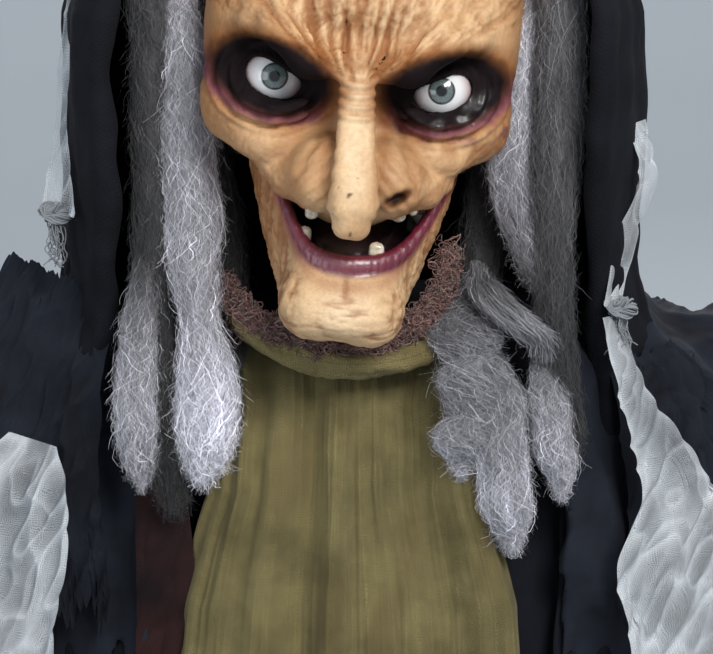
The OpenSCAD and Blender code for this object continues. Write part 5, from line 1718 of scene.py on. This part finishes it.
skin = vinyl_material()
mouth_black = mouth_material()
tooth = tooth_material()
black_cloth = weave_material("BlackWeave", (0.0085, 0.0095, 0.015), (0.003, 0.0035, 0.006), 0.8, sheen=0.0)
slate_cloth = weave_material("SlateWeave", (0.014, 0.018, 0.028), (0.006, 0.0075, 0.012), 0.9, sheen=0.02)
hood_cloth = weave_material("HoodWeave", (0.0075, 0.0085, 0.0135), (0.003, 0.0035, 0.0055), 1.1, sheen=0.0)
maroon_cloth = weave_material("MaroonWeave", (0.028, 0.010, 0.010), (0.009, 0.004, 0.005), 0.9, sheen=0.02)
olive = weave_material("OliveGauze", (0.215, 0.18, 0.078), (0.105, 0.088, 0.036), 1.05,
                       stain=(0.085, 0.058, 0.024), waver=0.5, sheen=0.05)
white_gauze = weave_material("WhiteGauze", (0.66, 0.70, 0.74), (0.50, 0.54, 0.58), 1.0,
                             open_share=0.62, waver=0.4, sheen=0.1)
white_thread = weave_material("WhiteThread", (0.52, 0.56, 0.60), (0.40, 0.44, 0.48), 3.0, sheen=0.1)
grey_fibre = hair_material("GreyFibre", (1.0, 1.0, 1.10))
yarn = yarn_material()
claw = nail_material()

fixed(build_mask(skin), "head", "vinyl_skin", "face_mask")
right_eye, left_eye = build_eyes(eye_material())
fixed(right_eye, "head", "eye_plastic", "eye_domes")
fixed(left_eye, "head", "eye_plastic")
fixed(build_teeth("UpperTeeth", UPPER_TEETH, tooth, False), "head", "tooth_plastic", "upper_teeth")
fixed(build_lining(mouth_black), "head", "vinyl_skin", "mouth_liner")
fixed(build_jaw(skin), "jaw", "vinyl_skin", "jaw_mask")
fixed(build_teeth("LowerTeeth", LOWER_TEETH, tooth, True), "jaw", "tooth_plastic", "lower_teeth")
fixed(build_throat(mouth_black), "jaw", "vinyl_skin")
fixed(build_tongue(mouth_black), "jaw", "vinyl_skin")

fixed(build_robe(black_cloth), "stand", "black_cloth", "robe")
fixed(build_cape(black_cloth), "stand", "black_cloth", "cape")
fixed(build_tunic(olive), "stand", "olive_gauze", "tunic")
collar = fixed(build_collar(olive), "stand", "olive_gauze")
loose_yarn = fixed(build_yarn(yarn), "stand", "brown_yarn", "neck_ruff")
yarn_core = fixed(build_yarn_core(yarn), "stand", "brown_yarn")
for piece, keep in ((collar, 0.6), (loose_yarn, 0.3), (yarn_core, 0.3)):
    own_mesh(piece)

turning(build_hood(hood_cloth), STAND_TO_HEAD, "black_cloth", "hood")
hair = build_hair(grey_fibre) + build_hair_cores(grey_fibre)
for lock in hair:
    turning(lock, HAIR_TO_HEAD, "grey_hair")
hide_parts("hair_locks", "hair_ends")

fixed(build_back_gauze(white_gauze), "stand", "white_gauze", "gauze_shawl")
panels = [
    ("GauzeRightHood", [(-130, -98, 1612), (-133, -102, 1575), (-134, -106, 1545), (-130, -112, 1508)],
     [(-134, -92, 1612), (-139, -95, 1575), (-141, -98, 1545), (-148, -104, 1508)], 110, 30, 210, 3, 5),
    ("GauzeRightLow", [(-140, -120, 1400), (-134, -132, 1380), (-135, -138, 1345), (-141, -139, 1318),
                       (-138, -139, 1250)],
     [(-164, -104, 1404), (-180, -108, 1388), (-196, -112, 1360), (-205, -112, 1320), (-208, -110, 1250)],
     170, 110, 220, 9, 36),
    ("GauzeLeftHood", [(124, -108, 1548), (130, -114, 1525), (119, -120, 1500), (112, -128, 1468)],
     [(134, -92, 1550), (139, -98, 1525), (130, -106, 1500), (122, -114, 1468)], 60, 40, 230, 7, 5),
    ("GauzeLeftLow", [(112, -129, 1462), (121, -134, 1420), (130, -138, 1380), (119, -140, 1346),
                      (126, -140, 1315), (128, -139, 1240)],
     [(119, -120, 1462), (136, -118, 1424), (160, -114, 1392), (184, -112, 1362), (202, -111, 1320),
      (208, -110, 1240)], 190, 120, 240, 8, 36),
]
for name, left, right, rows, cols, seed, wave, tatter in panels:
    panel = build_panel(name, left, right, rows, cols, seed, white_gauze, wave, tatter)
    if name.endswith("Hood"):
        turning(panel, STAND_TO_HEAD, "white_gauze")
    else:
        fixed(panel, "stand", "white_gauze")
rags = [
    ("MaroonEdge", [(-104, -119, 1385), (-103, -126, 1350), (-104, -128, 1290), (-108, -128, 1200)],
     [(-80, -126, 1385), (-76, -133, 1350), (-78, -136, 1290), (-84, -138, 1200)],
     90, 50, 260, maroon_cloth, 5, 10, 0),
    ("RagRight", [(-112, -110, 1470), (-118, -120, 1430), (-120, -124, 1380), (-116, -126, 1330)],
     [(-168, -66, 1486), (-190, -82, 1440), (-205, -90, 1390), (-200, -96, 1345)],
     130, 110, 270, slate_cloth, 9, 45, 7),
    ("RagLeft", [(116, -112, 1440), (122, -118, 1405), (126, -122, 1365), (120, -124, 1330)],
     [(150, -84, 1446), (182, -84, 1410), (200, -90, 1370), (198, -96, 1335)],
     130, 110, 280, slate_cloth, 9, 45, 7),
]
for rag in rags:
    fixed(build_panel(*rag), "stand", "black_cloth")
for name, spot, seed in (("KnotRight", (-140, -108, 1508), 250), ("KnotLeft", (121, -122, 1466), 251)):
    turning(build_knot(name, spot, 4.0, seed, white_thread), STAND_TO_HEAD, "white_gauze")
    frays = build_frays(name + "Frays", np.array([spot]), 26, seed + 5, white_thread, 34)
    turning(frays, STAND_TO_HEAD, "white_gauze")

for title, word, side, upper, lower in ARMS:
    upper_body, lower_body = word + "_upper_arm_body", word + "_forearm_body"
    drape_piece = build_shoulder(title + "ShoulderDrape", side, upper, lower, slate_cloth)
    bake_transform(drape_piece)
    stands_for(drape_piece, "black_cloth")
    sleeve = build_sleeve(title + "Sleeve", side, upper, lower, slate_cloth)
    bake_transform(sleeve)
    stands_for(sleeve, "black_cloth", word + "_upper_sleeve", word + "_lower_sleeve")
    hand, nails = build_hand(title + "Hand", side, upper, lower, skin, claw)
    fixed(hand, lower_body, "vinyl_skin", word + "_hand")
    fixed(nails, lower_body, "vinyl_skin")


# ---------- finishes of the pieces that keep their CAD shape ----------

FINISHES = {
    "steel_tube": metal_material("DrawnSteel", (0.50, 0.51, 0.53)),
    "bronze": metal_material("SinteredBronze", (0.50, 0.31, 0.13), 0.42),
    "black_plastic": plastic_material("BlackMoulding", (0.022, 0.022, 0.025)),
    "white_plastic": plastic_material("NaturalMoulding", (0.66, 0.66, 0.60), 0.45),
    "red_plastic": plastic_material("RedMoulding", (0.45, 0.02, 0.018), 0.32),
    "black_rubber": plastic_material("BlackRubber", (0.014, 0.014, 0.014), 0.8, 500),
    "eye_plastic": plastic_material("LampBody", (0.30, 0.62, 0.36), 0.25),
    "speaker_paper": plastic_material("SpeakerPaper", (0.03, 0.03, 0.034), 0.7, 600),
    "circuit_green": board_material(),
    "battery_shell": battery_material(),
}
for entry in frame["record"]["subparts"]:
    node = frame["nodes"][entry["node"]]
    if node.hide_render:
        continue
    node.data.materials.clear()
    node.data.materials.append(FINISHES[entry["material_slot"]])

build_stage()
build_camera()
